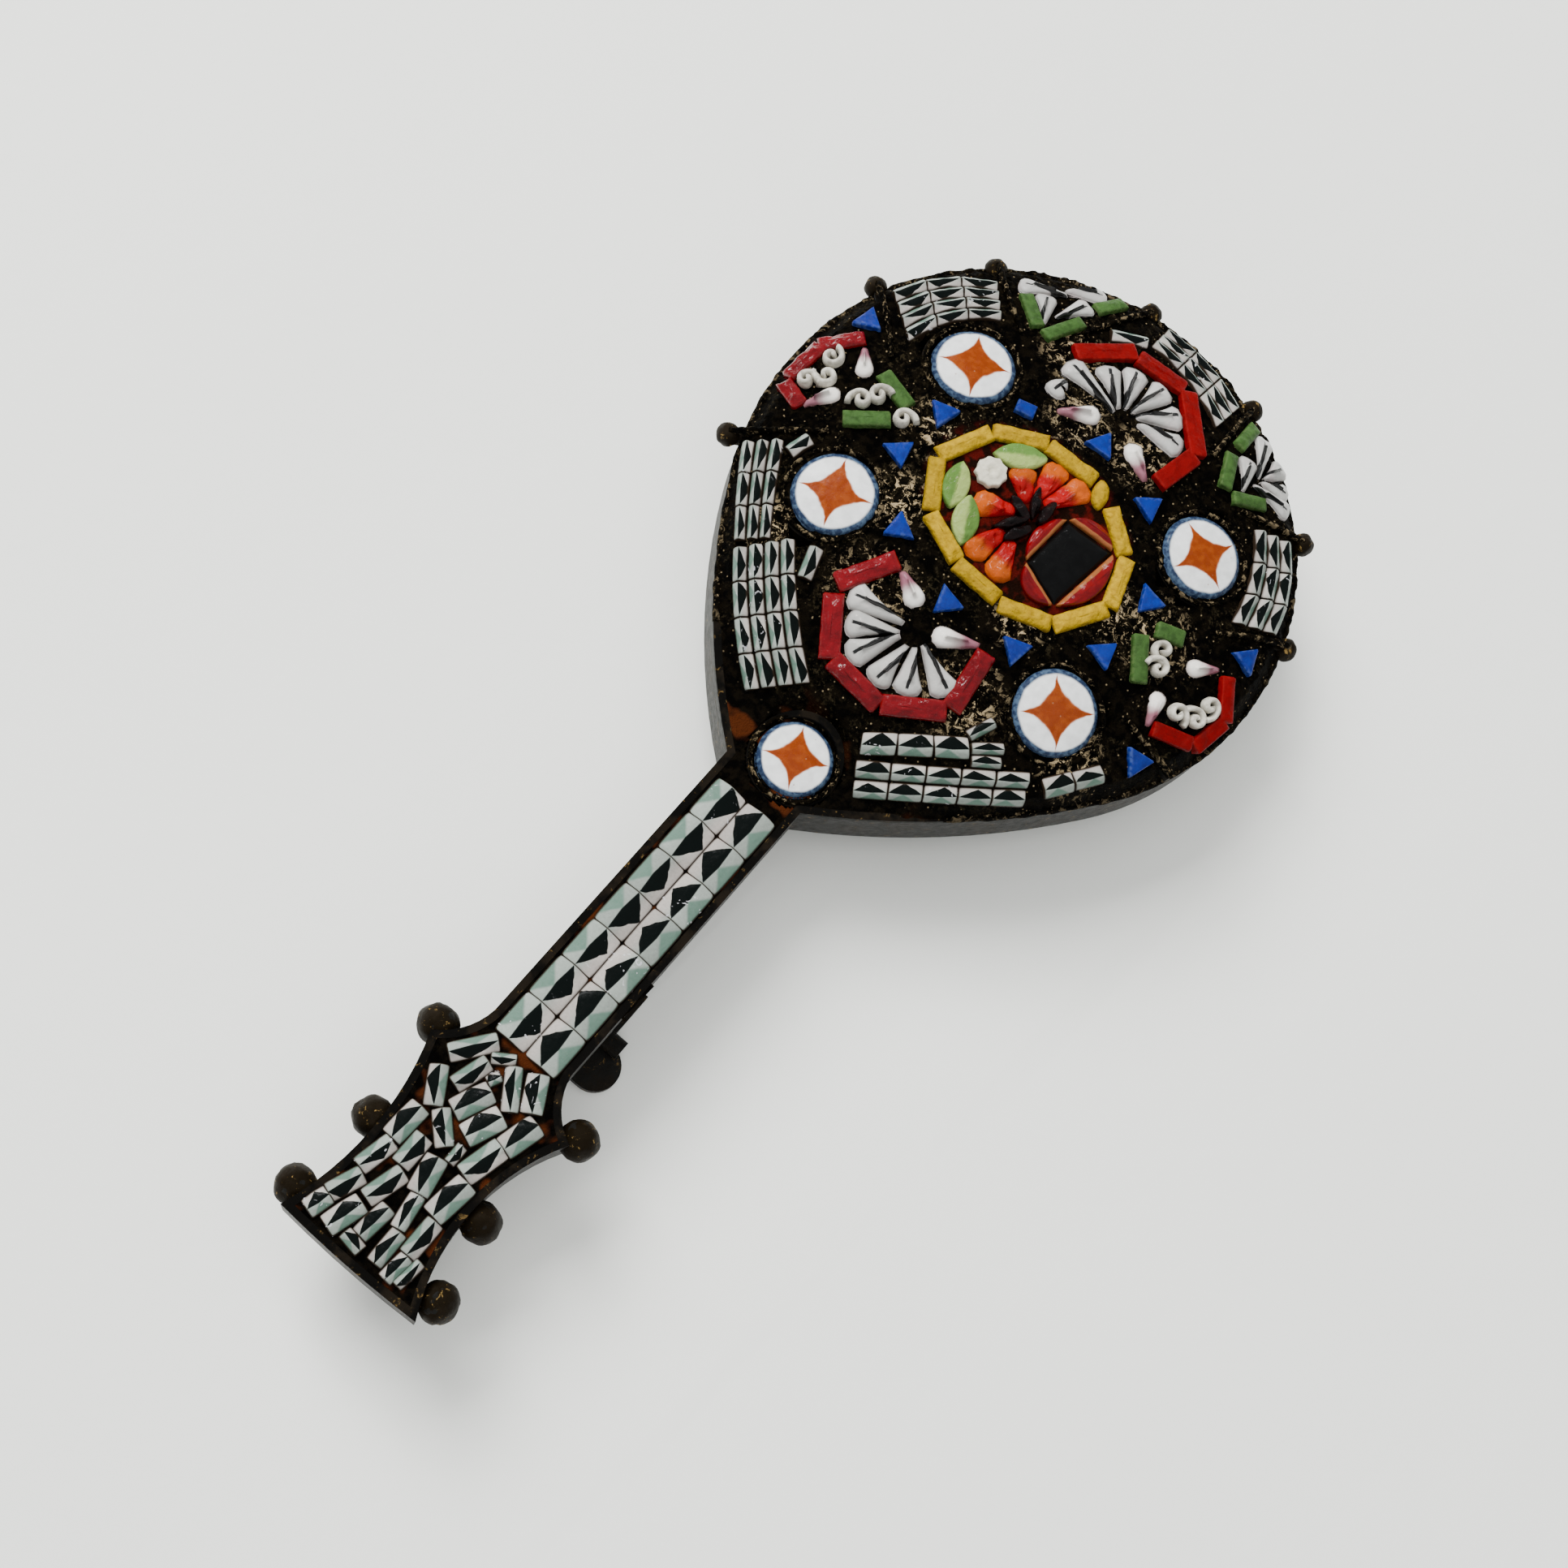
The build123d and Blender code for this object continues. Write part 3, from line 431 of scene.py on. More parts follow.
@dataclass(frozen=True)
class StarGlass(Finish):
    """White disc with a burnt-orange star of concave sides and a blue-grey rim."""

    white: Colour = rgb(0.62, 0.63, 0.62)
    orange: Colour = rgb(0.145, 0.021, 0.0010)
    bright_orange: Colour = rgb(0.185, 0.033, 0.0018)
    outline: Colour = rgb(0.30, 0.09, 0.03)
    pit_brown: Colour = rgb(0.25, 0.13, 0.07)
    rim_blue: Colour = rgb(0.010, 0.019, 0.045)
    rim_grey: Colour = rgb(0.045, 0.075, 0.12)
    reach: float = 0.88
    power: float = 0.60
    wander: float = 0.16
    _: KW_ONLY
    roughness: float = 0.26
    coat: float = 0.08
    specular: float = 0.22
    bump: float = 0.35

    def paint(self, graph: Graph) -> tuple[Socket, Socket, Any]:
        """Colour, relief and roughness of the surface."""
        place = graph.position()
        across, along, _ = graph.kept("place")
        stir = graph.stir(place, 1.3, 3.0, self.wander)
        side = graph.stir(graph.stretched(place, (1.3, 0.9, 1.0)), 1.1, 2.0, self.wander)
        star_sum = abs(across + stir) ** self.power + abs(along + side) ** self.power
        limit = self.reach ** self.power
        star = 1 - star_sum.step(limit - 0.02, limit + 0.02)
        line = 1 - abs(star_sum - limit).step(0.0, 0.06)
        tone = 0.9 + graph.noise(place, 2.5, 4.0).step(0.3, 0.7) * 0.16
        orange = graph.mix(graph.noise(place, 3.0, 3.0).step(0.4, 0.7), self.orange, self.bright_orange)
        colour = graph.mix(star, graph.shade(self.white, tone), orange)
        colour = graph.mix(line * 0.55, colour, self.outline)
        pits = 1 - graph.cells(place, 1.8).step(0.03, 0.07)
        colour = graph.mix(pits * 0.7, colour, self.pit_brown)
        blue = graph.mix(graph.noise(place, 5.0, 3.0).step(0.4, 0.65), self.rim_blue, self.rim_grey)
        radius = (across * across + along * along) ** 0.5
        colour = graph.mix((radius + stir * 0.45).step(0.83, 0.90), colour, blue)
        relief = graph.noise(place, 1.8, 3.0) - pits * 0.3
        return colour, relief, self.roughness + graph.noise(place, 4.0).step(0.5, 0.7) * 0.14


@dataclass(frozen=True)
class PetalGlass(Finish):
    """Pale petal with a black line along its middle, painted shade along its edges and a grey root."""

    pale: Colour = rgb(0.35, 0.345, 0.325)
    rose: Colour = rgb(0.50, 0.40, 0.40)
    # Grey of the root, also used for the painted shade along the edges.
    root_grey_and_edge_shade: Colour = rgb(0.12, 0.10, 0.095)
    line: Colour = rgb(0.006, 0.006, 0.006)
    half_line: float = 0.19
    _: KW_ONLY
    roughness: float = 0.28
    coat: float = 0.2
    coat_roughness: float = 0.1
    bump: float = 0.35
    bump_depth: float = 0.08

    def paint(self, graph: Graph) -> tuple[Socket, Socket, Any]:
        """Colour, relief and roughness of the surface."""
        place = graph.position()
        along, across, rim = graph.kept("place")
        chance, bend, _ = graph.kept("chance")
        middle = abs(across + graph.stir(place, 2.0, 2.0, 0.25) + (bend - 0.5) * 0.3 * along)
        width = self.half_line * (1.15 - along * 0.35) * (0.9 + graph.noise(place, 3.0) * 0.5)
        line = (width - middle).step(-0.03, 0.04) * (1.0 - along).step(0.0, 0.12)
        # Painted shade: the petal darkens towards its rounded edges.
        colour = graph.mix((1 - rim).step(0.80, 1.0) * 0.6, self.pale, self.root_grey_and_edge_shade)
        # Greyer towards the root, the thin end.
        colour = graph.mix((-along).step(0.0, 1.0) * 0.30, colour, self.root_grey_and_edge_shade)
        colour = graph.mix(graph.noise(place, 1.6, 3.0).step(0.5, 0.7) * 0.25, colour, self.rose)
        colour = graph.shade(colour, 0.88 + chance * 0.2)
        colour = graph.mix(line, colour, self.line)
        return colour, graph.noise(place, 5.0, 3.0) - line * 0.6, self.roughness


@dataclass(frozen=True)
class DropGlass(Finish):
    """Drop that turns from a white head to a mauve-pink tip, with painted brown-pink shade round its edges."""

    white: Colour = rgb(0.66, 0.63, 0.58)
    mauve: Colour = rgb(0.20, 0.075, 0.10)
    # Brown-pink colour of the painted shade round the edges.
    edge: Colour = rgb(0.16, 0.09, 0.08)
    _: KW_ONLY
    coat: float = 0.2
    coat_roughness: float = 0.12
    bump: float = 0.3
    bump_depth: float = 0.1

    def paint(self, graph: Graph) -> tuple[Socket, Socket, Any]:
        """Colour, relief and roughness of the surface."""
        place = graph.position()
        along, _, rim = graph.kept("place")
        turn = (-along + graph.stir(place, 2.4, 3.0, 0.5)).step(-0.35, 0.45)
        colour = graph.mix(turn, self.white, self.mauve)
        # Painted shade: darker brown-pink towards the rounded edges.
        colour = graph.mix((1 - rim).step(0.7, 1.0) * 0.45, colour, self.edge)
        return colour, graph.noise(place, 3.0, 3.0), self.roughness


@dataclass(frozen=True)
class SplitGlass(Finish):
    """Clear glass of two colours that meet along or across the stone, with painted whitish highlights in streaks on
    its top.
    """

    first: Colour
    second: Colour
    # Colour of the painted whitish highlights.
    glint_colour: Colour = rgb(0.60, 0.42, 0.34)
    _: KW_ONLY
    lengthwise: bool
    glints: float
    border: float = 0.0
    soft: float = 0.25
    roughness: float = 0.10
    coat: float = 0.2
    specular: float = 0.28
    bump: float = 0.6
    bump_depth: float = 0.14

    def paint(self, graph: Graph) -> tuple[Socket, Socket, Any]:
        """Colour, relief and roughness of the surface."""
        place = graph.position()
        along, across, rim = graph.kept("place")
        chance, _, _ = graph.kept("chance")
        key = (along if self.lengthwise else across) + graph.stir(place, 2.5, 3.0, 0.5)
        colour = graph.mix(key.step(self.border - self.soft, self.border + self.soft), self.first, self.second)
        colour = graph.shade(colour, 0.8 + chance * 0.3 + graph.noise(place, 5.0, 3.0) * 0.25)
        # Painted highlights: the glint colour is laid in streaks on the top, away from the edges.
        glint_streaks = graph.noise(graph.stretched(place, (1.0, 0.35, 1.0)), 5.0, 4.0, 0.6, 1.5)
        glint = glint_streaks.step(0.60, 0.68) * rim.step(0.1, 0.5) * self.glints
        colour = graph.mix(glint, colour, self.glint_colour)
        return colour, graph.noise(place, 3.0, 4.0, 0.6, 0.6) + glint * 0.3, self.roughness


@dataclass(frozen=True)
class CrescentGlass(Finish):
    """Red crescent with an orange-brown edge along its straight side."""

    red: Colour = rgb(0.135, 0.0004, 0.0015)
    dark_red: Colour = rgb(0.085, 0.0004, 0.002)
    edge: Colour = rgb(0.19, 0.060, 0.016)
    _: KW_ONLY
    roughness: float = 0.22
    coat: float = 0.25
    specular: float = 0.3
    bump: float = 0.5

    def paint(self, graph: Graph) -> tuple[Socket, Socket, Any]:
        """Colour, relief and roughness of the surface."""
        place = graph.position()
        _, across, _ = graph.kept("place")
        chance, _, _ = graph.kept("chance")
        border = (-across + graph.stir(place, 3.0, 2.0, 0.2)).step(0.58, 0.68)
        red = graph.mix(graph.noise(place, 2.0, 3.0).step(0.4, 0.7), self.red, self.dark_red)
        colour = graph.mix(border, graph.shade(red, 0.85 + chance * 0.3), self.edge)
        return colour, graph.noise(place, 2.5, 3.0), self.roughness


@dataclass(frozen=True)
class CementFinish(Finish):
    """Gritty black-brown cement with cream and brass specks, glossier and browner in the neck and head."""

    black: Colour = rgb(0.0006, 0.0005, 0.0004)
    brown: Colour = rgb(0.0030, 0.0022, 0.0012)
    olive: Colour = rgb(0.026, 0.020, 0.010)
    speck: Colour = rgb(0.33, 0.25, 0.14)
    resin: Colour = rgb(0.045, 0.011, 0.003)
    wine_dark: Colour = rgb(0.006, 0.002, 0.001)
    wine: Colour = rgb(0.045, 0.003, 0.002)
    _: KW_ONLY
    roughness: float = 0.62
    specular: float = 0.03
    bump: float = 0.9

    def paint(self, graph: Graph) -> tuple[Socket, Socket, Any]:
        """Colour, relief and roughness of the surface."""
        place = graph.position()
        body, picture, bare = graph.kept("place")
        grains = graph.noise(place, 5.5, 3.0, 0.7)
        patches = grains.step(0.52, 0.66) * graph.noise(place, 0.55, 2.0, 0.5, 0.5).step(0.42, 0.60)
        colour = graph.mix(graph.noise(place, 2.2, 4.0, 0.6).step(0.42, 0.62), self.black, self.brown)
        colour = graph.mix(patches * 0.55 * body, colour, self.olive)
        flakes = graph.noise(place, 2.6, 4.0, 0.75, 0.8).step(0.54, 0.60)
        colour = graph.mix(flakes * bare * body, colour, self.speck)
        dust = 1 - graph.cells(place, 3.1).step(0.06, 0.16)
        colour = graph.mix(dust * 0.45 * body, colour, self.speck)
        resin = graph.noise(place, 0.6, 2.0).step(0.57, 0.66) * (1 - body)
        colour = graph.mix(resin * 0.9, colour, self.resin)
        wine = graph.mix(graph.noise(place, 2.0, 2.0).step(0.45, 0.6), self.wine_dark, self.wine)
        colour = graph.mix(picture, colour, wine)
        rough = self.roughness - picture * 0.42 - (1 - body) * 0.22 + grains * 0.2
        return colour, grains + graph.noise(place, 12.0, 3.0, 0.7) * 0.5, rough


@dataclass(frozen=True)
class DarkMetal(Finish):
    """Oxidised brass: black on the rim, brushed dark grey on the wall, and brass flecks that are partly rubbed brass
    and partly painted glints.
    """

    black: Colour = rgb(0.0025, 0.0022, 0.0018)
    grey: Colour = rgb(0.013, 0.0125, 0.011)
    stain: Colour = rgb(0.014, 0.010, 0.006)
    brass: Colour = rgb(0.22, 0.135, 0.042)
    rub_and_glint: float = 0.5
    rim_level: float = WALL_TOP - 0.12
    _: KW_ONLY
    roughness: float = 0.42
    metallic: float = 0.35
    specular: float = 0.12
    bump: float = 0.5
    bump_depth: float = 0.10

    def paint(self, graph: Graph) -> tuple[Socket, Socket, Any]:
        """Colour, relief and roughness of the surface."""
        place = graph.position()
        _, _, level = graph.parts(place)
        wall = 1 - (level + graph.noise(place, 1.5) * 0.2).step(self.rim_level - 0.05, self.rim_level + 0.15)
        brushed = graph.noise(graph.stretched(place, (0.35, 0.35, 6.0)), 2.0, 4.0, 0.7)
        colour = graph.mix(wall * (0.35 + brushed * 0.9), self.black, self.grey)
        colour = graph.mix(graph.noise(place, 0.7, 4.0, 0.6).step(0.48, 0.62) * 0.6, colour, self.stain)
        # Brass flecks: partly rubbed brass, partly painted glints.
        brass_and_glint_flecks = graph.noise(place, 2.6, 4.0, 0.75, 0.5).step(0.60, 0.70) * self.rub_and_glint
        colour = graph.mix(brass_and_glint_flecks, colour, self.brass)
        rough = self.roughness + graph.noise(place, 3.0, 3.0) * 0.3 - wall * 0.08
        return colour, graph.noise(place, 2.2, 4.0, 0.6) + brushed * wall * 0.4, rough


@dataclass(frozen=True)
class TableFinish(Finish):
    """Pale painted table top with faint marks."""

    colour: Colour = rgb(0.80, 0.81, 0.765)
    _: KW_ONLY
    roughness: float = 0.55
    bump: float = 0.15
    bump_depth: float = 0.2

    def paint(self, graph: Graph) -> tuple[Socket, Socket, Any]:
        """Colour, relief and roughness of the surface."""
        place = graph.position()
        tone = 0.97 + graph.noise(place, 0.03, 3.0) * 0.05
        marks = graph.noise(graph.stretched(place, (1.0, 0.08, 1.0)), 0.10, 3.0, 0.6, 1.0).step(0.68, 0.76)
        colour = graph.shade(self.colour, tone - marks * 0.02)
        return colour, graph.noise(place, 0.5, 4.0, 0.6), self.roughness


@dataclass
class StoneForm:
    """One stone of a CAD node: its upper face's outline in its own plane, in millimetres."""

    outline: np.ndarray
    origin: np.ndarray
    along: np.ndarray
    across: np.ndarray
    normal: np.ndarray
    depth: float

    @property
    def half_length(self) -> float:
        """Half of the outline's extent along the stone."""
        return float(np.ptp(self.outline[:, 0])) / 2

    @property
    def half_width(self) -> float:
        """Half of the outline's extent across the stone."""
        return float(np.ptp(self.outline[:, 1])) / 2

    def flipped(self) -> "StoneForm":
        """The same stone with its directions turned half round."""
        return StoneForm(-self.outline, self.origin, -self.along, -self.across, self.normal, self.depth)

    def turned(self, angle: float) -> "StoneForm":
        """The same stone with its directions turned by an angle in radians."""
        cos, sin = math.cos(angle), math.sin(angle)
        spin = np.array([[cos, -sin], [sin, cos]])
        along = self.along * cos + self.across * sin
        across = self.across * cos - self.along * sin
        return StoneForm(self.outline @ spin, self.origin, along, across, self.normal, self.depth)

    def place(self, points: np.ndarray) -> np.ndarray:
        """Points of the stone's own frame in the row frame."""
        return self.origin + points @ np.array([self.along, self.across, self.normal])

    def resampled(self, spacing: float) -> np.ndarray:
        """The outline as evenly spaced points."""
        loop = np.vstack([self.outline, self.outline[:1]])
        steps = np.hypot(*np.diff(loop, axis=0).T)
        travelled = np.concatenate([[0], np.cumsum(steps)])
        count = max(20, int(travelled[-1] / spacing))
        wanted = np.linspace(0, travelled[-1], count, endpoint=False)
        return np.column_stack([np.interp(wanted, travelled, loop[:, axis]) for axis in (0, 1)])


def chain(edges: Iterable[tuple[int, int]]) -> list[int]:
    """The longest closed loop through directed edges."""
    following = dict(edges)
    best: list[int] = []
    while following:
        start, current = next(iter(following.items()))
        loop = [start]
        del following[start]
        while current != start and current in following:
            loop.append(current)
            current = following.pop(current)
        if len(loop) > len(best):
            best = loop
    return best


def longest_side(outline: np.ndarray) -> float:
    """Angle of the longer side of the smallest rectangle round an outline."""
    best = (math.inf, 0.0)
    for angle in np.radians(np.arange(0, 180, 1.0)):
        cos, sin = math.cos(angle), math.sin(angle)
        length = np.ptp(outline @ np.array([cos, sin]))
        width = np.ptp(outline @ np.array([-sin, cos]))
        if length >= width and length * width < best[0]:
            best = (length * width, angle)
    return best[1]


LEAST_UPWARD = 0.8


def loose_groups(faces: list[Face], count: int) -> list[list[Face]]:
    """Sorts triangles into groups that hang together.

    Args:
        faces: triangles as vertex numbers.
        count: how many vertices there are.

    Returns:
        The groups, without triangles that have collapsed.
    """
    parent = list(range(count))

    def root(index: int) -> int:
        """The group that a vertex belongs to."""
        while parent[index] != index:
            parent[index] = parent[parent[index]]
            index = parent[index]
        return index

    for first, second, third in faces:
        parent[root(first)] = root(second)
        parent[root(second)] = root(third)
    groups: dict[int, list[Face]] = {}
    for face in faces:
        if len(set(face)) == 3:
            groups.setdefault(root(face[0]), []).append(face)
    return list(groups.values())


def form_of(group: list[Face], points: np.ndarray) -> StoneForm:
    """Reads one stone.

    Args:
        group: the stone's triangles.
        points: the node's vertices, in millimetres.

    Returns:
        Its form, the fat end towards the positive direction along it.
    """
    corners = points[np.array(group)]
    areas = np.cross(corners[:, 1] - corners[:, 0], corners[:, 2] - corners[:, 0])
    upward = areas[:, 2] > LEAST_UPWARD * np.linalg.norm(areas, axis=1)
    normal = areas[upward].sum(0)
    normal /= np.linalg.norm(normal)
    top = [face for face, up in zip(group, upward) if up]
    edges = {(face[i], face[(i + 1) % 3]) for face in top for i in range(3)}
    loop = points[chain(edge for edge in edges if edge[::-1] not in edges)]
    along = np.cross([0.0, 1.0, 0.0], normal)
    along /= np.linalg.norm(along)
    across = np.cross(normal, along)
    origin = loop.mean(0)
    outline = np.column_stack([(loop - origin) @ along, (loop - origin) @ across])
    depth = float(-((corners.reshape(-1, 3) - origin) @ normal).min())
    form = StoneForm(outline, origin, along, across, normal, depth).turned(longest_side(outline))
    middle = (form.outline.min(0) + form.outline.max(0)) / 2
    form = StoneForm(form.outline - middle, form.place(np.array([[*middle, 0.0]]))[0], form.along,
                     form.across, form.normal, depth)
    return form.flipped() if fat_end(form.outline) < 0 else form


def stone_forms(node: str) -> list[StoneForm]:
    """The loose stones of a CAD node, in the order of their places."""
    mesh = bpy.data.objects[node].data
    points = np.array([v.co for v in mesh.vertices]) / MM
    _, first, weld = np.unique(np.round(points, 4), axis=0, return_index=True, return_inverse=True)
    points, weld = points[first], weld.ravel()
    mesh.calc_loop_triangles()
    faces = [tuple(int(weld[v]) for v in t.vertices) for t in mesh.loop_triangles]
    forms = [form_of(group, points) for group in loose_groups(faces, len(points))]
    forms.sort(key=lambda form: (round(float(form.origin[1]), 3), round(float(form.origin[0]), 3)))
    return forms


def fat_end(outline: np.ndarray) -> float:
    """Where the area's middle lies along the outline, from its extents' middle."""
    x, y = outline[:, 0], outline[:, 1]
    cross = x * np.roll(y, -1) - np.roll(x, -1) * y
    return float(((x + np.roll(x, -1)) * cross).sum() / (3 * cross.sum()))


def grid_faces(numbers: np.ndarray) -> list[Face]:
    """Faces between the rows and columns of a grid of vertex numbers, where a negative number is a gap."""
    blocks = numbers[:-1, :-1], numbers[:-1, 1:], numbers[1:, 1:], numbers[1:, :-1]
    return [tuple(face) for face in np.stack(blocks, axis=-1).reshape(-1, 4).tolist() if min(face) >= 0]


def lumpiness(spot: Vector, noises: Iterable[tuple[float, float]],
              start: Sequence[float] = (0.0, 0.0, 0.0)) -> float:
    """Unevenness at a place.

    Args:
        spot: the place.
        noises: scale and share of each noise.
        start: where in the noises the place's zero lies.

    Returns:
        The shares' sum.
    """
    return sum(noise.noise(spot * scale + Vector(start)) * share for scale, share in noises)


def band(low: int, high: int, count: int) -> list[Face]:
    """Faces between two rings of vertices, from the rings' first numbers."""
    return [(low + i, low + (i + 1) % count, high + (i + 1) % count, high + i) for i in range(count)]


@dataclass
class Mesher:
    """Collects the vertices, faces and attributes of one piece, in millimetres."""

    points: list[np.ndarray] = field(default_factory=list)
    places: list[np.ndarray] = field(default_factory=list)
    chances: list[np.ndarray] = field(default_factory=list)
    faces: list[Face] = field(default_factory=list)
    count: int = 0

    def add(self, points: np.ndarray, places: np.ndarray, chance: Sequence[float], faces: Iterable[Face]) -> None:
        """Adds one shape.

        Args:
            points: vertices in the row frame.
            places: pattern place of each vertex.
            chance: three random numbers of the shape.
            faces: vertex numbers within the shape.
        """
        self.points.append(points)
        self.places.append(places)
        self.chances.append(np.tile(chance, (len(points), 1)))
        self.faces.extend(tuple(index + self.count for index in face) for face in faces)
        self.count += len(points)

    def set_places(self, place: tuple[float, float, float]) -> None:
        """Gives all vertices one pattern place."""
        for block in self.places:
            block[:] = place

    def build(self, name: str, finish: Finish, slot: Slot, replaced: Sequence[str] = ()) -> bpy.types.Object:
        """Makes the piece.

        Args:
            name: the piece's name.
            finish: its surface.
            slot: the piece's material slot; not used.
            replaced: CAD nodes that it stands for.

        Returns:
            The new object.
        """
        points = np.concatenate(self.points) * MM
        mesh = bpy.data.meshes.new(name)
        mesh.from_pydata(points.tolist(), [], self.faces)
        for label, values in (("place", self.places), ("chance", self.chances)):
            layer = mesh.attributes.new(label, "FLOAT_VECTOR", "POINT")
            layer.data.foreach_set("vector", np.concatenate(values).astype(np.float32).ravel())
        mesh.materials.append(finish.material())
        mesh.polygons.foreach_set("use_smooth", [True] * len(mesh.polygons))
        mesh.update()
        piece = bpy.data.objects.new(name, mesh)
        bpy.context.scene.collection.objects.link(piece)
        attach(piece, "root")
        if replaced:
            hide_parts(*replaced)
        LOG.info("%s: %d faces", name, len(self.faces))
        return piece


def rough_points(points: np.ndarray, normal: np.ndarray, amount: float, scale: float) -> np.ndarray:
    """Moves points along a normal by noise.

    Args:
        points: vertices in the row frame.
        normal: the direction, one for all.
        amount: largest move in millimetres.
        scale: features per millimetre.

    Returns:
        The moved points.
    """
    shift = np.array([noise.noise(Vector(p) * scale) for p in points])
    return points + np.outer(shift * amount, normal)


@dataclass
class RoundStone:
    """How a stone is raised from its outline: rounded edge, crowned top and handmade unevenness."""

    edge: float = 0.18
    crown: float = 0.08
    lift: float = 0.0
    grow: float = 0.02
    spine: float = 0.9
    uneven: float = 0.03
    stretch: float = 0.0
    taper: float = 0.0
    spacing: float = 0.13
    lump_scale: float = 3.0
    widest_edge: float = 0.85
    flat_middle: float = 0.35
    edge_rings: int = 4
    top_rings: int = 5

    def levels(self, half_width: float, depth: float) -> list[tuple[float, float]]:
        """Scale and height of each ring, from the foot to the middle.

        Args:
            half_width: half of the stone's width.
            depth: how far the sides go down.

        Returns:
            Pairs of scale and height.
        """
        edge = min(self.edge, half_width * self.widest_edge)
        rings = [(1.0, -depth), (1.0, -(depth + edge) / 2), (1.0, -edge - self.crown)]
        for step in range(1, self.edge_rings + 1):
            angle = math.pi / 2 * step / self.edge_rings
            rings.append((1 - edge * (1 - math.cos(angle)) / half_width, -edge * (1 - math.sin(angle)) - self.crown))
        last = rings[-1][0]
        for step in range(1, self.top_rings + 1):
            share = 1 - step / (self.top_rings + self.flat_middle)
            rings.append((last * share, -self.crown * share ** 2))
        return rings

    def add(self, mesher: Mesher, form: StoneForm, chance: Sequence[float], dent: Relief | None = None) -> None:
        """Adds one stone.

        Args:
            mesher: the piece that it belongs to.
            form: its outline and place.
            chance: its three random numbers.
            dent: further height from the scaled place.
        """
        outline = form.resampled(self.spacing)
        half_length, half_width = form.half_length, form.half_width
        outline = outline * (1 + np.array([self.grow + self.stretch, self.grow]) / [half_length, half_width])
        outline[:, 1] *= 1 + self.taper * outline[:, 0] / half_length
        spine = max(0.0, half_length - half_width) * self.spine
        axis = np.column_stack([np.clip(outline[:, 0], -spine, spine), np.zeros(len(outline))])
        count = len(outline)
        points, places, faces = [], [], []
        for scale, height in self.levels(half_width, form.depth):
            ring = axis + (outline - axis) * scale
            place = np.column_stack([ring[:, 0] / half_length, ring[:, 1] / half_width, np.full(count, 1 - scale)])
            heights = np.full(count, height + self.lift)
            if dent is not None and scale < 1:
                heights = heights + dent(place)
            points.append(np.column_stack([ring, heights]))
            places.append(place)
        last = len(points) - 1
        for ring in range(last):
            faces += band(ring * count, (ring + 1) * count, count)
        faces.append(tuple(last * count + index for index in range(count)))
        world = rough_points(form.place(np.concatenate(points)), form.normal, self.uneven, self.lump_scale)
        mesher.add(world, np.concatenate(places), chance, faces)


@dataclass
class StonePiece:
    """A CAD node's stones, each raised from its outline with one finish."""

    node: str
    finish: Finish
    slot: Slot
    shape: RoundStone = field(default_factory=RoundStone)
    seed: int = 1

    @property
    def name(self) -> str:
        """Name of the piece in the scene."""
        return self.node + "_glass"

    def arranged(self, forms: list[StoneForm]) -> list[StoneForm]:
        """The stones with their directions set; kinds that need it change this."""
        return forms

    def dent(self, form: StoneForm) -> Relief | None:
        """Relief on the stone's top; none unless a kind adds it."""
        return None

    def build(self) -> bpy.types.Object:
        """Makes the piece.

        Returns:
            The new object.
        """
        rng = random.Random(self.seed)
        mesher = Mesher()
        for form in self.arranged(stone_forms(self.node)):
            self.shape.add(mesher, form, draws(rng), self.dent(form))
        return mesher.build(self.name, self.finish, self.slot, [self.node])


@dataclass
class PetalPiece(StonePiece):
    """Petals with a groove along their middle line."""

    groove: float = 0.05
    groove_width: float = 0.12

    def dent(self, form: StoneForm) -> Relief | None:
        """A shallow crease along the middle."""
        return lambda place: -self.groove * np.exp(-((place[:, 1] / self.groove_width) ** 2))


@dataclass
class RosettePiece(StonePiece):
    """A toothed white rosette with an embossed ring."""

    ring: float = 0.40
    ring_width: float = 0.10
    relief: float = 0.14
    dish: float = 0.04

    def dent(self, form: StoneForm) -> Relief | None:
        """A raised ring round a shallow dish."""

        def height(place: np.ndarray) -> np.ndarray:
            """Height at each place."""
            radius = np.hypot(place[:, 0], place[:, 1])
            raised = self.relief * np.exp(-(((radius - self.ring) / self.ring_width) ** 2))
            return raised - self.dish * (radius < self.ring)

        return height


@dataclass
class CrescentPiece(StonePiece):
    """Crescents whose straight side faces the dark eye."""

    end_band: float = 0.12

    def arranged(self, forms: list[StoneForm]) -> list[StoneForm]:
        """Turns each so that its straight side lies across negative."""
        done = []
        for form in forms:
            x, y = form.outline[:, 0], form.outline[:, 1]
            top = np.ptp(x[y > y.max() - self.end_band])
            foot = np.ptp(x[y < y.min() + self.end_band])
            done.append(form.flipped() if top > foot else form)
        return done


@dataclass
class StarDisc(StonePiece):
    """One star disc, its pattern turned as in the setting."""

    angle: float = 0.0

    def arranged(self, forms: list[StoneForm]) -> list[StoneForm]:
        """Turns the disc's directions to the star's points."""
        form = forms[0]
        along = np.cross([0.0, 1.0, 0.0], form.normal)
        along /= np.linalg.norm(along)
        current = math.atan2(float(form.along @ np.cross(form.normal, along)), float(form.along @ along))
        return [form.turned(math.radians(self.angle) - current)]


class Outward(Enum):
    """Which way the outer facet of a cane faces."""

    FROM_BODY = "from the body's middle"
    FROM_AXIS = "from the neck's and head's axis"
    FROM_HEAD_SIDES = "from the head's axis, in mixed turns"


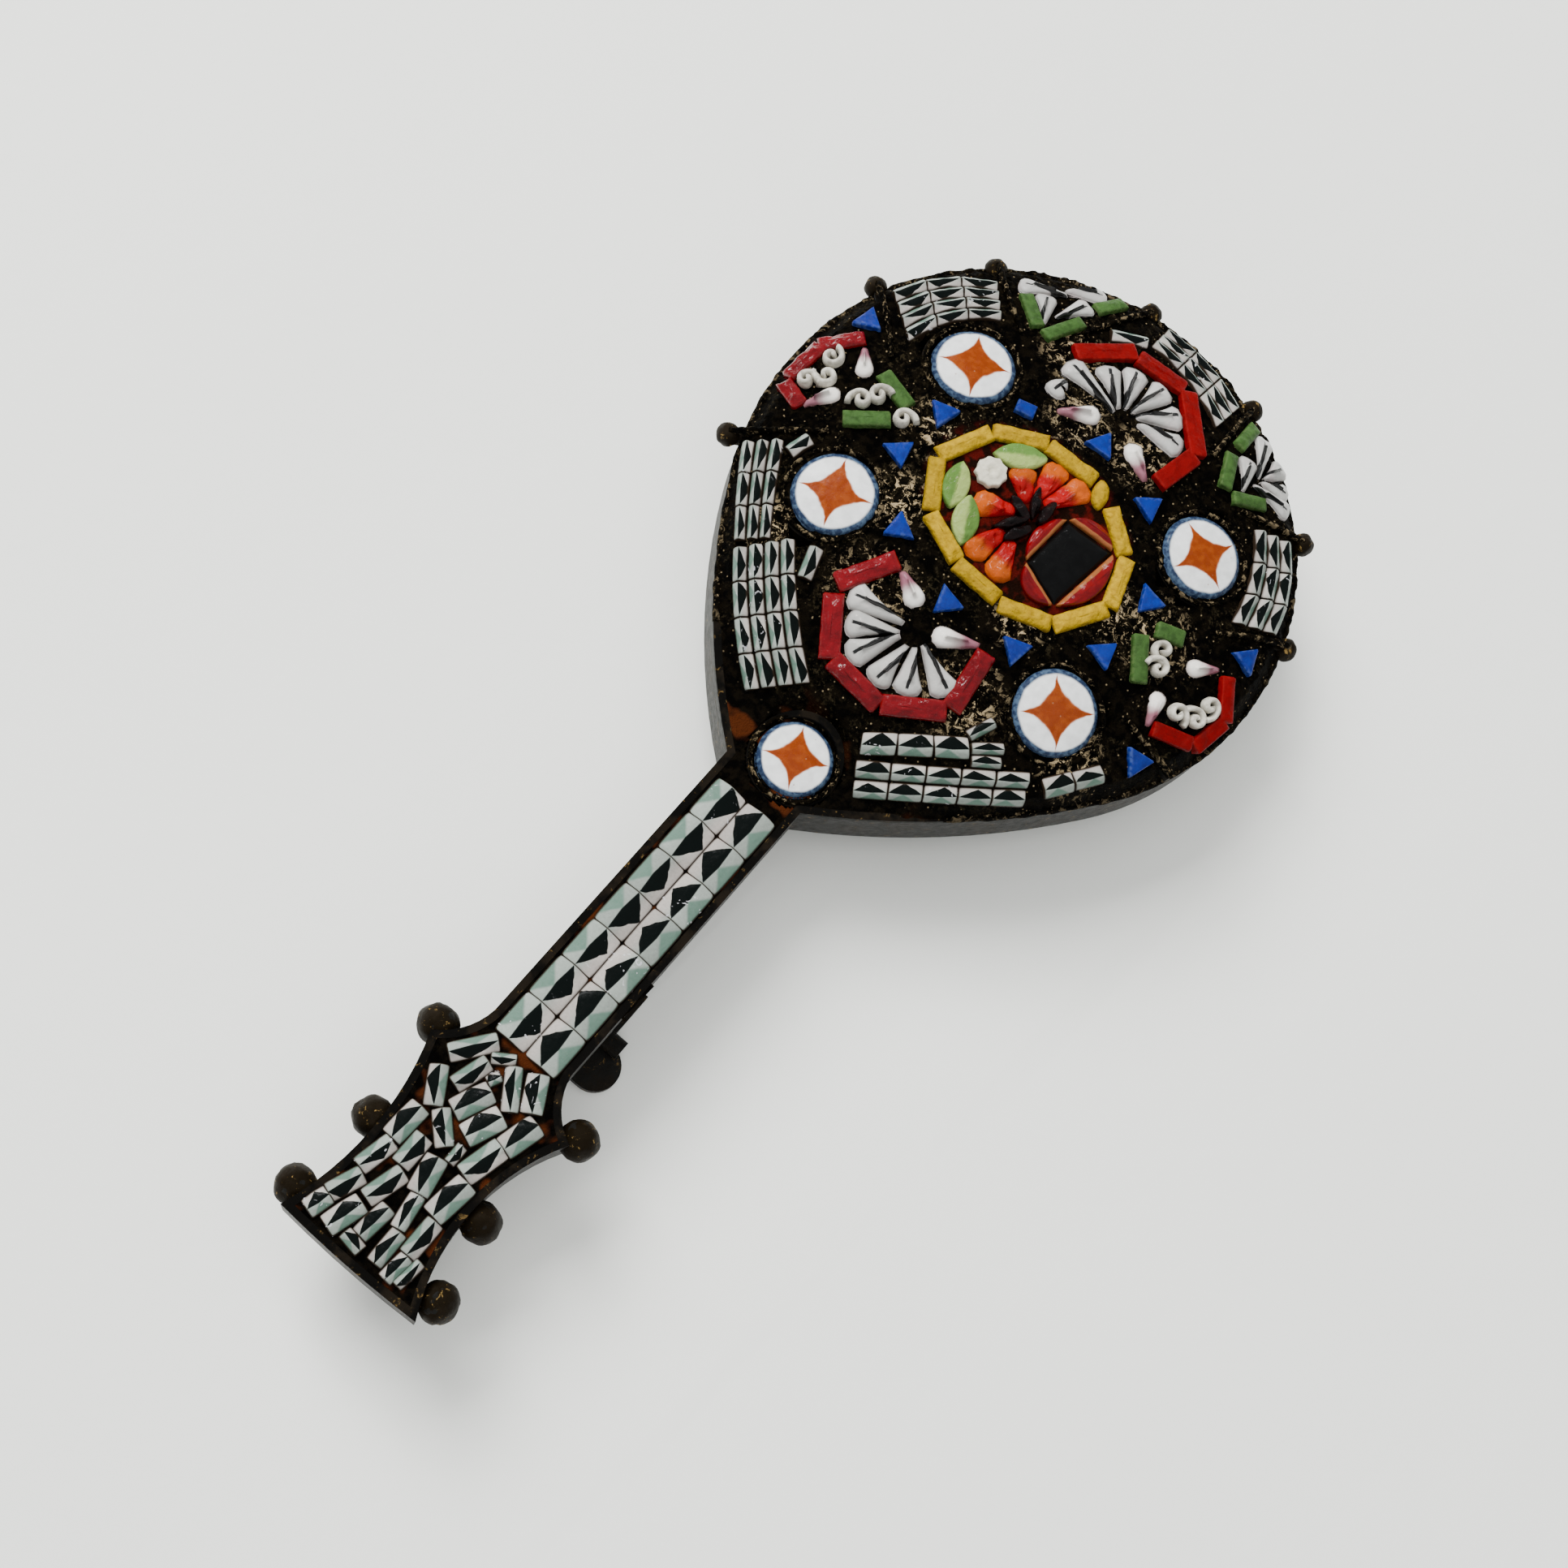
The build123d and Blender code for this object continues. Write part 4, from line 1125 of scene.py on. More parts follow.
@dataclass
class CanePiece:
    """A field of faceted canes."""

    node: str
    outward: Outward
    seed: int
    ridge: float = 0.45
    outer_fall: float = 0.20
    outer_bow: float = 1.3
    inner_fall: float = 0.12
    corner_fall: float = 0.16
    edge: float = 0.07
    joint: float = 0.07
    grow: float = 0.07
    uneven: float = 0.03
    lump_scale: float = 3.5
    turned_share: float = 0.3
    end_pull: float = 0.03
    side_pull: float = 0.07
    pull_power: int = 8
    columns: int = 17
    rows: int = 13

    def corners(self, form: StoneForm) -> np.ndarray:
        """The outline's four corners, counterclockwise and swollen by the growth."""
        loop = form.outline
        before, after = loop - np.roll(loop, 1, 0), np.roll(loop, -1, 0) - loop
        turn = np.abs(before[:, 0] * after[:, 1] - before[:, 1] * after[:, 0])
        turn /= np.hypot(*before.T) * np.hypot(*after.T) + 1e-9
        corners = loop[np.sort(np.argsort(turn)[-4:])]
        centre = corners.mean(0)
        corners = corners[np.argsort(np.arctan2(*(corners - centre).T[::-1]))]
        return centre + (corners - centre) * (1 + self.grow / np.array([form.half_length, form.half_width]))

    def outward_of(self, form: StoneForm, rng: random.Random) -> np.ndarray:
        """Direction that the outer facet faces.

        Args:
            form: the cane.
            rng: random numbers of the field.

        Returns:
            A direction in the row frame.
        """
        if self.outward is Outward.FROM_BODY:
            return form.origin - np.array([*BODY_MIDDLE, form.origin[2]])
        axis_x = NECK_OFFSET + (NECK_START - form.origin[1]) * math.tan(NECK_LEAN)
        direction = np.array([1.0 if form.origin[0] > axis_x else -1.0, 0.0, 0.0])
        if self.outward is Outward.FROM_HEAD_SIDES and rng.random() < self.turned_share:
            direction = -direction
        return direction

    def build(self) -> bpy.types.Object:
        """Makes the field.

        Returns:
            The new object.
        """
        rng = random.Random(self.seed)
        mesher = Mesher()
        for form in stone_forms(self.node):
            if float(form.across @ self.outward_of(form, rng)) > 0:
                form = form.flipped()
            self.add(mesher, form, draws(rng))
        finish = CaneGlass("cane_glass", ridge=self.ridge)
        return mesher.build(self.node + "_glass", finish, Slot.CANE, [self.node])

    def top(self, form: StoneForm) -> tuple[np.ndarray, np.ndarray]:
        """The faceted upper face.

        Args:
            form: the cane.

        Returns:
            Its vertices in the cane's own frame and their pattern places, row by row.
        """
        columns = np.sin(np.linspace(-math.pi / 2, math.pi / 2, self.columns))
        rows = np.sin(np.linspace(-math.pi / 2, math.pi / 2, self.rows))
        along, across = np.meshgrid(columns, rows)
        s = ((along * (1 - self.end_pull * np.abs(across) ** self.pull_power)) + 1)[..., None] / 2
        t = ((across * (1 - self.side_pull * np.abs(along) ** self.pull_power)) + 1)[..., None] / 2
        first, second, third, fourth = self.corners(form)
        flat = (first * (1 - s) + second * s) * (1 - t) + (fourth * (1 - s) + third * s) * t
        v = (across + 1) / 2
        inner = np.clip((v - self.ridge) / (1 - self.ridge), 0, 1)
        outer = np.clip((self.ridge - v) / self.ridge, 0, 1)
        beyond = np.clip(np.abs(along) - (1 - inner), 0, 1)
        gap = np.minimum((1 - np.abs(along)) * form.half_length, (1 - np.abs(across)) * form.half_width)
        rounding = self.edge * (1 - np.sqrt(1 - (1 - np.clip(gap / self.edge, 0, 1)) ** 2))
        height = -self.outer_fall * outer ** self.outer_bow - self.inner_fall * inner
        height = height - self.corner_fall * beyond - rounding
        place = np.column_stack([along.ravel(), v.ravel(), np.clip(gap / self.joint, 0, 1).ravel()])
        return np.column_stack([flat.reshape(-1, 2), height.ravel()]), place

    def add(self, mesher: Mesher, form: StoneForm, chance: Sequence[float]) -> None:
        """Adds one cane.

        Args:
            mesher: the field.
            form: its outline and place; its outer side lies across negative.
            chance: its three random numbers.
        """
        top, place = self.top(form)
        numbers = np.arange(len(top)).reshape(self.rows, self.columns)
        faces = grid_faces(numbers)
        rim = [*numbers[0], *numbers[1:, -1], *numbers[-1, -2::-1], *numbers[-2:0:-1, 0]]
        foot = top[rim].copy()
        foot[:, 2] = -form.depth
        for index, number in enumerate(rim):
            after = (index + 1) % len(rim)
            faces.append((len(top) + index, len(top) + after, int(rim[after]), int(number)))
        points = rough_points(form.place(np.vstack([top, foot])), form.normal, self.uneven, self.lump_scale)
        mesher.add(points, np.vstack([place, place[rim]]), chance, faces)


@dataclass
class Curls:
    """Scrolls of white glass rod, each a flat spiral with a short tail."""

    node: str
    seed: int
    rod: float = 0.14
    tall: float = 2.4
    turns: float = 1.2
    reach_out: float = 0.17
    rod_inside: float = 0.6
    eye: float = 0.07
    opening: float = 1.15
    tail_start: float = 0.87
    tail_rise: float = 1.2
    sunk: float = 0.16
    wave: float = 0.05
    sides: int = 8
    steps: int = 46

    def build(self) -> bpy.types.Object:
        """Makes the scrolls.

        Returns:
            The new object.
        """
        rng = random.Random(self.seed)
        mesher = Mesher()
        share = np.linspace(0, 1, self.steps)
        tail = np.clip(share - self.tail_start, 0, 1) * self.tail_rise
        for form in stone_forms(self.node):
            start = rng.uniform(0, TURN)
            hand = rng.choice((-1, 1))
            reach = form.half_width + self.reach_out - self.rod * self.rod_inside
            radius = self.eye + (reach - self.eye) * np.minimum(share * self.opening, 1.0) + tail
            angle = start + hand * TURN * self.turns * share
            line = np.column_stack([radius * np.cos(angle), radius * np.sin(angle),
                                    -self.sunk + self.wave * np.sin(angle / 2 + start)])
            add_tube(mesher, form.place(line), form.normal, lambda s: self.rod, self.sides, draws(rng), self.tall)
        finish = PlainGlass("curl_glass", rgb(0.47, 0.45, 0.38), rgb(0.26, 0.24, 0.20), roughness=0.35, coat=0.1)
        return mesher.build(self.node + "_glass", finish, Slot.WHITE, [self.node])


def add_tube(mesher: Mesher, line: np.ndarray, up: np.ndarray, radius: Callable[[float], float], sides: int,
             chance: Sequence[float], flatten: float = 1.0, twist: float = 0.0, strands: int = 0,
             closed: bool = False) -> None:
    """Adds a rod or a twisted wire along a line.

    Args:
        mesher: the piece.
        line: points in the row frame.
        up: the direction that counts as up, one for all points.
        radius: radius in millimetres from the share of the length.
        sides: points round the rod.
        chance: its three random numbers.
        flatten: how much taller than wide the section is.
        twist: turns per millimetre of the strands.
        strands: strands of a twisted wire, none for a plain rod.
        closed: whether the line's end meets its start.
    """
    count = len(line)
    ahead = np.roll(line, -1, 0) - np.roll(line, 1, 0)
    if not closed:
        ahead[0], ahead[-1] = line[1] - line[0], line[-1] - line[-2]
    ahead /= np.linalg.norm(ahead, axis=1)[:, None]
    side = np.cross(up, ahead)
    side /= np.linalg.norm(side, axis=1)[:, None]
    rise = np.cross(ahead, side)
    travelled = np.concatenate([[0], np.cumsum(np.linalg.norm(np.diff(line, axis=0), axis=1))])
    around = np.linspace(0, TURN, sides, endpoint=False)
    points, places, faces = [], [], []
    for index in range(count):
        share = index / (count - 1)
        size = np.full(sides, radius(share))
        if strands:
            lobes = np.abs(np.cos((around - TURN * twist * travelled[index]) * strands / 2))
            size = size * (STRAND_VALLEY + (1 - STRAND_VALLEY) * lobes ** STRAND_POWER)
        points.append(line[index] + np.outer(np.cos(around) * size, side[index])
                      + np.outer(np.sin(around) * size * flatten, rise[index]))
        places.append(np.column_stack([np.full(sides, share * 2 - 1), np.sin(around), np.ones(sides)]))
    for index in range(count if closed else count - 1):
        faces += band(index * sides, ((index + 1) % count) * sides, sides)
    if not closed:
        faces.append(tuple(reversed(range(sides))))
        faces.append(tuple((count - 1) * sides + number for number in range(sides)))
    mesher.add(np.concatenate(points), np.concatenate(places), chance, faces)


@dataclass(frozen=True)
class Divider:
    """A wire from the rim inwards: its two ends as shares of the body's radius."""

    across: float
    along: float
    end_across: float
    end_along: float


DIVIDERS = (
    Divider(-0.223, 1.033, -0.330, 0.712),
    Divider(0.280, 1.025, 0.296, 0.708),
    Divider(-0.728, 0.737, -0.486, 0.543),
    Divider(0.737, 0.765, 0.502, 0.626),
    Divider(-0.975, 0.354, -0.733, 0.123),
    Divider(0.942, 0.412, 0.724, 0.206),
    Divider(-0.947, -0.444, -0.691, -0.239),
    Divider(0.947, -0.263, 0.708, -0.263),
)


@dataclass(frozen=True)
class StarPlace:
    """A star disc: its place as shares of the body's radius, its radius and its pattern's turn."""

    name: str
    across: float
    along: float
    radius: float
    angle: float


STARS = (
    StarPlace("near_left", -0.528, -0.403, 1.82, 24.0),
    StarPlace("near_right", 0.519, -0.432, 1.82, 44.0),
    StarPlace("far_left", -0.511, 0.303, 1.82, 32.0),
    StarPlace("far_right", 0.514, 0.371, 1.82, 67.0),
    StarPlace("neck", 0.0, -1.128, 1.6, 30.0),
)


@dataclass
class WireWork:
    """Twisted wires, dark with cement, along the cell walls and round the star discs."""

    radius: float = 0.14
    swell: float = 1.15
    thinning: float = 0.35
    ring_share: float = 0.8
    ring_gap: float = 0.20
    drop: float = 0.20
    ring_drop: float = 0.30
    tall: float = 1.3
    ring_tall: float = 1.2
    bow: float = 0.1
    pitch: float = 1.1
    strands: int = 2
    sides: int = 14
    step: float = 0.07
    seed: int = 5
    zone: tuple[float, float, float] = (1.0, 0.0, 0.3)

    def level(self, points: np.ndarray, drop: float) -> np.ndarray:
        """Lays places in plan on the dome, sunk by the drop."""
        return np.array([[x, y, dome_top(x, y) - drop] for x, y in points])

    def build(self) -> bpy.types.Object:
        """Makes the wires.

        Returns:
            The new object.
        """
        rng = random.Random(self.seed)
        mesher = Mesher()
        for row in DIVIDERS:
            start, end = on_body(row.across, row.along), on_body(row.end_across, row.end_along)
            count = int(np.linalg.norm(end - start) / self.step)
            line = start + np.outer(np.linspace(0, 1, count), end - start)
            bend = np.sin(np.linspace(0, math.pi, count)) * rng.uniform(-self.bow, self.bow)
            line = line + np.outer(bend, np.array([end[1] - start[1], start[0] - end[0]]) / 4)
            add_tube(mesher, self.level(line, self.drop), UP, lambda s: self.radius * (self.swell - self.thinning * s),
                     self.sides, draws(rng), self.tall, self.pitch, self.strands)
        for star in STARS:
            reach = star.radius + self.ring_gap
            angle = np.linspace(0, TURN, int(TURN * reach / self.step), endpoint=False)
            line = on_body(star.across, star.along) + np.column_stack([np.cos(angle), np.sin(angle)]) * reach
            twist = round(self.pitch * TURN * reach) / (TURN * reach)
            add_tube(mesher, self.level(line, self.ring_drop), UP, lambda s: self.radius * self.ring_share,
                     self.sides, draws(rng), self.ring_tall, twist, self.strands, True)
        mesher.set_places(self.zone)
        return mesher.build("twisted_wires", CementFinish("wire_cement"), Slot.METAL)


@dataclass
class CementBed:
    """The cement's grainy upper face between the stones."""

    pitch: float = 0.12
    sink: float = 0.30
    grain: float = 0.10
    look_from: float = 0.02
    floor_low: float = 2.9
    floor_high: float = WALL_TOP - 1.5
    wall_low: float = WALL_TOP - 0.05
    edge_drop: float = 0.03
    spill: int = 5
    fade: int = 5
    neck_edge: float = 1.10
    neck_fade: float = 6.0
    neck_grain: float = 0.25
    edge_grain: float = 1.5
    picture_fade: float = 8.0
    picture_calm: float = 0.7
    bare_reach: float = 1.4
    picture_reach: tuple[float, float] = (5.0, 3.9)
    lumps: tuple[tuple[float, float], ...] = ((1.1, 0.5), (3.1, 0.8), (6.3, 0.5))
    bare_spots: tuple[tuple[float, float, float], ...] = (
        (-0.36, -0.27, 0.10), (-0.22, -0.56, 0.12), (0.26, -0.62, 0.12), (0.40, -0.03, 0.10),
        (-0.44, 0.02, 0.10), (-0.12, 0.42, 0.10), (0.12, 0.48, 0.10), (0.58, 0.02, 0.12),
        (0.22, -0.30, 0.08), (-0.62, -0.62, 0.08), (0.66, -0.50, 0.10), (-0.30, 0.62, 0.10),
    )

    def case_levels(self, xs: np.ndarray, ys: np.ndarray) -> np.ndarray:
        """Level of the case under each place of a grid, below 0 where there is none."""
        levels = np.full((len(ys), len(xs)), BELOW_ALL)
        tree = case_tree()
        for row, y in enumerate(ys):
            for column, x in enumerate(xs):
                found = tree.ray_cast(Vector((x * MM, y * MM, self.look_from)), Vector((0, 0, -1)))[0]
                if found is not None:
                    levels[row, column] = found.z / MM
        return levels

    def build(self) -> bpy.types.Object:
        """Makes the bed.

        Returns:
            The new object.
        """
        low, high = (np.array(corner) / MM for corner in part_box("case"))
        xs = np.arange(low[0], high[0] + self.pitch, self.pitch)
        ys = np.arange(low[1], high[1] + self.pitch, self.pitch)
        levels = self.case_levels(xs, ys)
        inside = (levels > self.floor_low) & (levels < self.floor_high)
        for _ in range(self.spill):
            inside = inside | (self.spread(inside) & (levels >= self.wall_low))
        depth = np.zeros(inside.shape)
        core = inside.copy()
        for _ in range(self.fade):
            core = core & ~self.spread(~core)
            depth += core
        numbers = -np.ones(inside.shape, int)
        numbers[inside] = np.arange(inside.sum())
        points, places = [], []
        for row, column in np.argwhere(inside):
            x, y = xs[column], ys[row]
            points.append((x, y, self.height(x, y, depth[row, column] / self.fade)))
            places.append(self.zones(x, y))
        mesher = Mesher()
        mesher.add(np.array(points), np.array(places), EVEN_CHANCE, grid_faces(numbers))
        return mesher.build("cement_bed", CementFinish("bed_cement"), Slot.CEMENT, ["cement"])

    @staticmethod
    def spread(mask: np.ndarray) -> np.ndarray:
        """The mask grown by one cell each way."""
        grown = mask.copy()
        grown[1:] |= mask[:-1]
        grown[:-1] |= mask[1:]
        grown[:, 1:] |= mask[:, :-1]
        grown[:, :-1] |= mask[:, 1:]
        return grown

    def height(self, x: float, y: float, inward: float) -> float:
        """Level of the cement.

        Args:
            x: place in millimetres.
            y: place in millimetres.
            inward: 0 at the wall, 1 well inside.

        Returns:
            The level in millimetres.
        """
        body, picture, _ = self.zones(x, y)
        lumps = lumpiness(Vector((x, y, 0.0)), self.lumps)
        rough = self.grain * (self.neck_grain + (1 - self.neck_grain) * body) * (1 - self.picture_calm * picture)
        level = dome_top(x, y) - self.sink + lumps * rough
        edge = WALL_TOP - self.edge_drop + max(0.0, lumps) * self.grain * self.edge_grain * body
        return edge + (level - edge) * min(1.0, inward)

    def zones(self, x: float, y: float) -> tuple[float, float, float]:
        """Shares of the body's gritty cement, of the picture's ground and of bare specks at a place."""
        across, along = (x - BODY_MIDDLE[0]) / BODY_RADIUS, (y - BODY_MIDDLE[1]) / BODY_RADIUS
        inner = math.hypot(across * BODY_RADIUS / self.picture_reach[0], along * BODY_RADIUS / self.picture_reach[1])
        bare = max(held(self.bare_reach - math.hypot(across - spot_across, along - spot_along) / reach)
                   for spot_across, spot_along, reach in self.bare_spots)
        return held((along + self.neck_edge) * self.neck_fade), held((1.0 - inner) * self.picture_fade), bare


@dataclass(frozen=True)
class PegBall:
    """A ball soldered to the head: which side, and its place as shares of the head's length and half width."""

    side: int
    along: float
    across: float


PEG_BALLS = (
    PegBall(-1, 0.159, 1.05),
    PegBall(-1, 0.555, 0.89),
    PegBall(-1, 0.905, 1.02),
    PegBall(1, 0.143, 1.13),
    PegBall(1, 0.586, 0.87),
    PegBall(1, 0.886, 1.11),
)


@dataclass
class BallSkins:
    """Lumpy, cement-stained skins over the case's soldered balls and rim knobs."""

    head_start: float = 15.5
    head_length: float = 10.6
    head_half_width: float = 3.2
    ball_radius: float = 0.82
    ball_drop: float = 0.95
    knob_radius: float = 0.50
    lumps: float = 0.13
    lump_noises: tuple[tuple[float, float], ...] = ((1.6, 0.7), (4.5, 0.3))
    rows: int = 18
    seed: int = 8

    def centre(self, row: PegBall) -> np.ndarray:
        """Centre of a peg ball in the row frame."""
        along = self.head_start + row.along * self.head_length
        across = row.side * row.across * self.head_half_width
        x = NECK_OFFSET + along * math.sin(NECK_LEAN) + across * math.cos(NECK_LEAN)
        y = NECK_START - along * math.cos(NECK_LEAN) + across * math.sin(NECK_LEAN)
        return np.array([x, y, WALL_TOP - self.ball_drop])

    def add(self, mesher: Mesher, centre: np.ndarray, radius: float, chance: Sequence[float]) -> None:
        """Adds one lumpy ball.

        Args:
            mesher: the piece.
            centre: its middle in the row frame.
            radius: its mean radius.
            chance: its three random numbers.
        """
        columns = self.rows * 2
        points = [(0.0, 0.0, -1.0)]
        for row in range(1, self.rows):
            tilt = -math.pi / 2 + math.pi * row / self.rows
            for column in range(columns):
                turn = TURN * column / columns
                points.append((math.cos(tilt) * math.cos(turn), math.cos(tilt) * math.sin(turn), math.sin(tilt)))
        points.append((0.0, 0.0, 1.0))
        unit = np.array(points)
        rise = np.array([lumpiness(Vector(p), self.lump_noises, centre) for p in unit])
        shape = centre + unit * (radius * (1 + rise * self.lumps))[:, None]
        last, top = 1 + (self.rows - 2) * columns, len(points) - 1
        faces: list[Face] = []
        for row in range(self.rows - 2):
            faces += band(1 + row * columns, 1 + (row + 1) * columns, columns)
        for column in range(columns):
            after = (column + 1) % columns
            faces += [(0, 1 + after, 1 + column), (last + column, last + after, top)]
        mesher.add(shape, np.tile((0.0, 0.0, 1.0), (len(points), 1)), chance, faces)

    def build(self) -> bpy.types.Object:
        """Makes the skins.

        Returns:
            The new object.
        """
        rng = random.Random(self.seed)
        mesher = Mesher()
        for row in PEG_BALLS:
            self.add(mesher, self.centre(row), self.ball_radius, draws(rng))
        for row in DIVIDERS[:-1]:
            knob = np.array([*on_body(row.across, row.along), WALL_TOP])
            self.add(mesher, knob, self.knob_radius, draws(rng))
        # Many brass flecks on the balls: partly rubbed brass, partly painted glints.
        finish = DarkMetal("ball_metal", rgb(0.0075, 0.0050, 0.0022), brass=rgb(0.30, 0.19, 0.060), rub_and_glint=0.9,
                           rim_level=BELOW_ALL)
        return mesher.build("ball_skins", finish, Slot.METAL)


@dataclass
class RimCrust:
    """Crumbly cement that spills over the body's rim, heavier at the far end."""

    steps: int = 520
    sides: int = 9
    radius: float = 0.17
    swing: float = 0.9
    first_angle: float = -62.0
    last_angle: float = 242.0
    start_reach: float = 20.0
    start_drop: float = 0.6
    inset: float = 0.14
    drop: float = 0.06
    rise: float = 0.10
    near_share: float = 0.45
    lumps: tuple[tuple[float, float], ...] = ((1.3, 0.7), (3.7, 0.6))
    zone: tuple[float, float, float] = (1.0, 0.0, 0.2)

    def build(self) -> bpy.types.Object:
        """Makes the crust.

        Returns:
            The new object.
        """
        tree = case_tree()
        line, sizes = [], []
        for angle in np.radians(np.linspace(self.first_angle, self.last_angle, self.steps)):
            ahead = Vector((math.cos(angle), math.sin(angle), 0.0))
            start = Vector((*BODY_MIDDLE, WALL_TOP - self.start_drop)) + ahead * self.start_reach
            hit = tree.ray_cast(start * MM, -ahead)[0]
            if hit is None:
                continue
            edge = hit / MM - ahead * self.inset
            lump = lumpiness(Vector((edge.x, edge.y, 0.0)), self.lumps)
            far = self.near_share + (1 - self.near_share) * max(0.0, ahead.y)
            line.append((edge.x, edge.y, WALL_TOP - self.drop + self.rise * lump * far))
            sizes.append(self.radius * (1 + self.swing * lump * far))
        mesher = Mesher()
        last = len(sizes) - 1
        add_tube(mesher, np.array(line), UP, lambda s: sizes[round(s * last)], self.sides, EVEN_CHANCE)
        mesher.set_places(self.zone)
        return mesher.build("rim_crust", CementFinish("crust_cement"), Slot.CEMENT)


@dataclass
class MetalParts:
    """The CAD's own metal with its finishes."""

    finishes: tuple[tuple[str, DarkMetal], ...] = (
        ("case", DarkMetal("case_metal")),
        ("pin_stem", DarkMetal("pin_metal", rub_and_glint=0.9, rim_level=BELOW_ALL)),
    )

    def build(self) -> None:
        """Gives the case and the pin their materials."""
        for name, finish in self.finishes:
            materials = bpy.data.objects[name].data.materials
            materials.clear()
            materials.append(finish.material())
            LOG.info("%s: CAD node dressed", name)


@dataclass(frozen=True)
class SoftLight:
    """A soft square light that faces the object: place and side in metres, power in watts."""

    name: str
    place: tuple[float, float, float]
    size: float
    power: float
    glare: bool = False

    def build(self) -> None:
        """Adds the light; only one with glare is mirrored by glossy surfaces."""
        data = bpy.data.lights.new(self.name, "AREA")
        data.size = self.size
        data.energy = self.power
        light = bpy.data.objects.new(self.name, data)
        light.location = self.place
        light.visible_glossy = self.glare
        light.rotation_euler = Vector(self.place).to_track_quat("Z", "Y").to_euler()
        bpy.context.scene.collection.objects.link(light)


LIGHTS = (
    SoftLight("key", (-0.30, 0.10, 0.33), 0.26, 4.9),
    SoftLight("overhead", (0.05, 0.0, 0.55), 0.60, 2.6),
    SoftLight("fill", (0.28, -0.32, 0.30), 0.30, 0.6),
    SoftLight("spark", (-0.30, 0.14, 0.30), 0.07, 0.35, glare=True),
)


@dataclass
class Studio:
    """Table, camera and soft light."""

    pixels: float = 1932.0
    focal_pixels: float = 2800.0
    sensor: float = 36.0
    pitch: float = -15.56
    yaw: float = 10.64
    roll: float = -45.70
    shift: tuple[float, float, float] = (9.60, 10.21, -95.39)
    clip: tuple[float, float] = (0.005, 5.0)
    table_size: float = 1.2
    room_colour: Colour = rgb(0.95, 0.98, 1.0)
    room_strength: float = 0.42

    def build(self) -> None:
        """Makes the table, the camera and the lights."""
        self.make_table()
        self.make_camera()
        for light in LIGHTS:
            light.build()
        world = bpy.data.worlds.new("soft_room")
        world.use_nodes = True
        background = world.node_tree.nodes["Background"]
        background.inputs["Color"].default_value = self.room_colour
        background.inputs["Strength"].default_value = self.room_strength
        bpy.context.scene.world = world

    def make_table(self) -> None:
        """A wide flat table top just under the object."""
        mesh = bpy.data.meshes.new("table")
        half = self.table_size / 2
        corners = [(-half, -half, 0), (half, -half, 0), (half, half, 0), (-half, half, 0)]
        mesh.from_pydata(corners, [], [(0, 1, 2, 3)])
        mesh.materials.append(TableFinish("table_paint").material())
        table = bpy.data.objects.new("table", mesh)
        bpy.context.scene.collection.objects.link(table)

    def make_camera(self) -> None:
        """The camera that was fitted to the photograph."""
        data = bpy.data.cameras.new("camera")
        data.sensor_width = self.sensor
        data.lens = self.focal_pixels / self.pixels * self.sensor
        data.clip_start, data.clip_end = self.clip
        turn = (Matrix.Rotation(math.radians(self.yaw), 3, "Y") @ Matrix.Rotation(math.radians(self.pitch), 3, "X")
                @ Matrix.Rotation(math.radians(self.roll), 3, "Z"))
        back = turn.transposed()
        place = (back @ -Vector(self.shift) + Vector((*BODY_MIDDLE, WALL_TOP))) * MM
        camera = bpy.data.objects.new("camera", data)
        camera.matrix_world = Matrix.Translation(place) @ back.to_4x4()
        bpy.context.scene.collection.objects.link(camera)
        bpy.context.scene.camera = camera


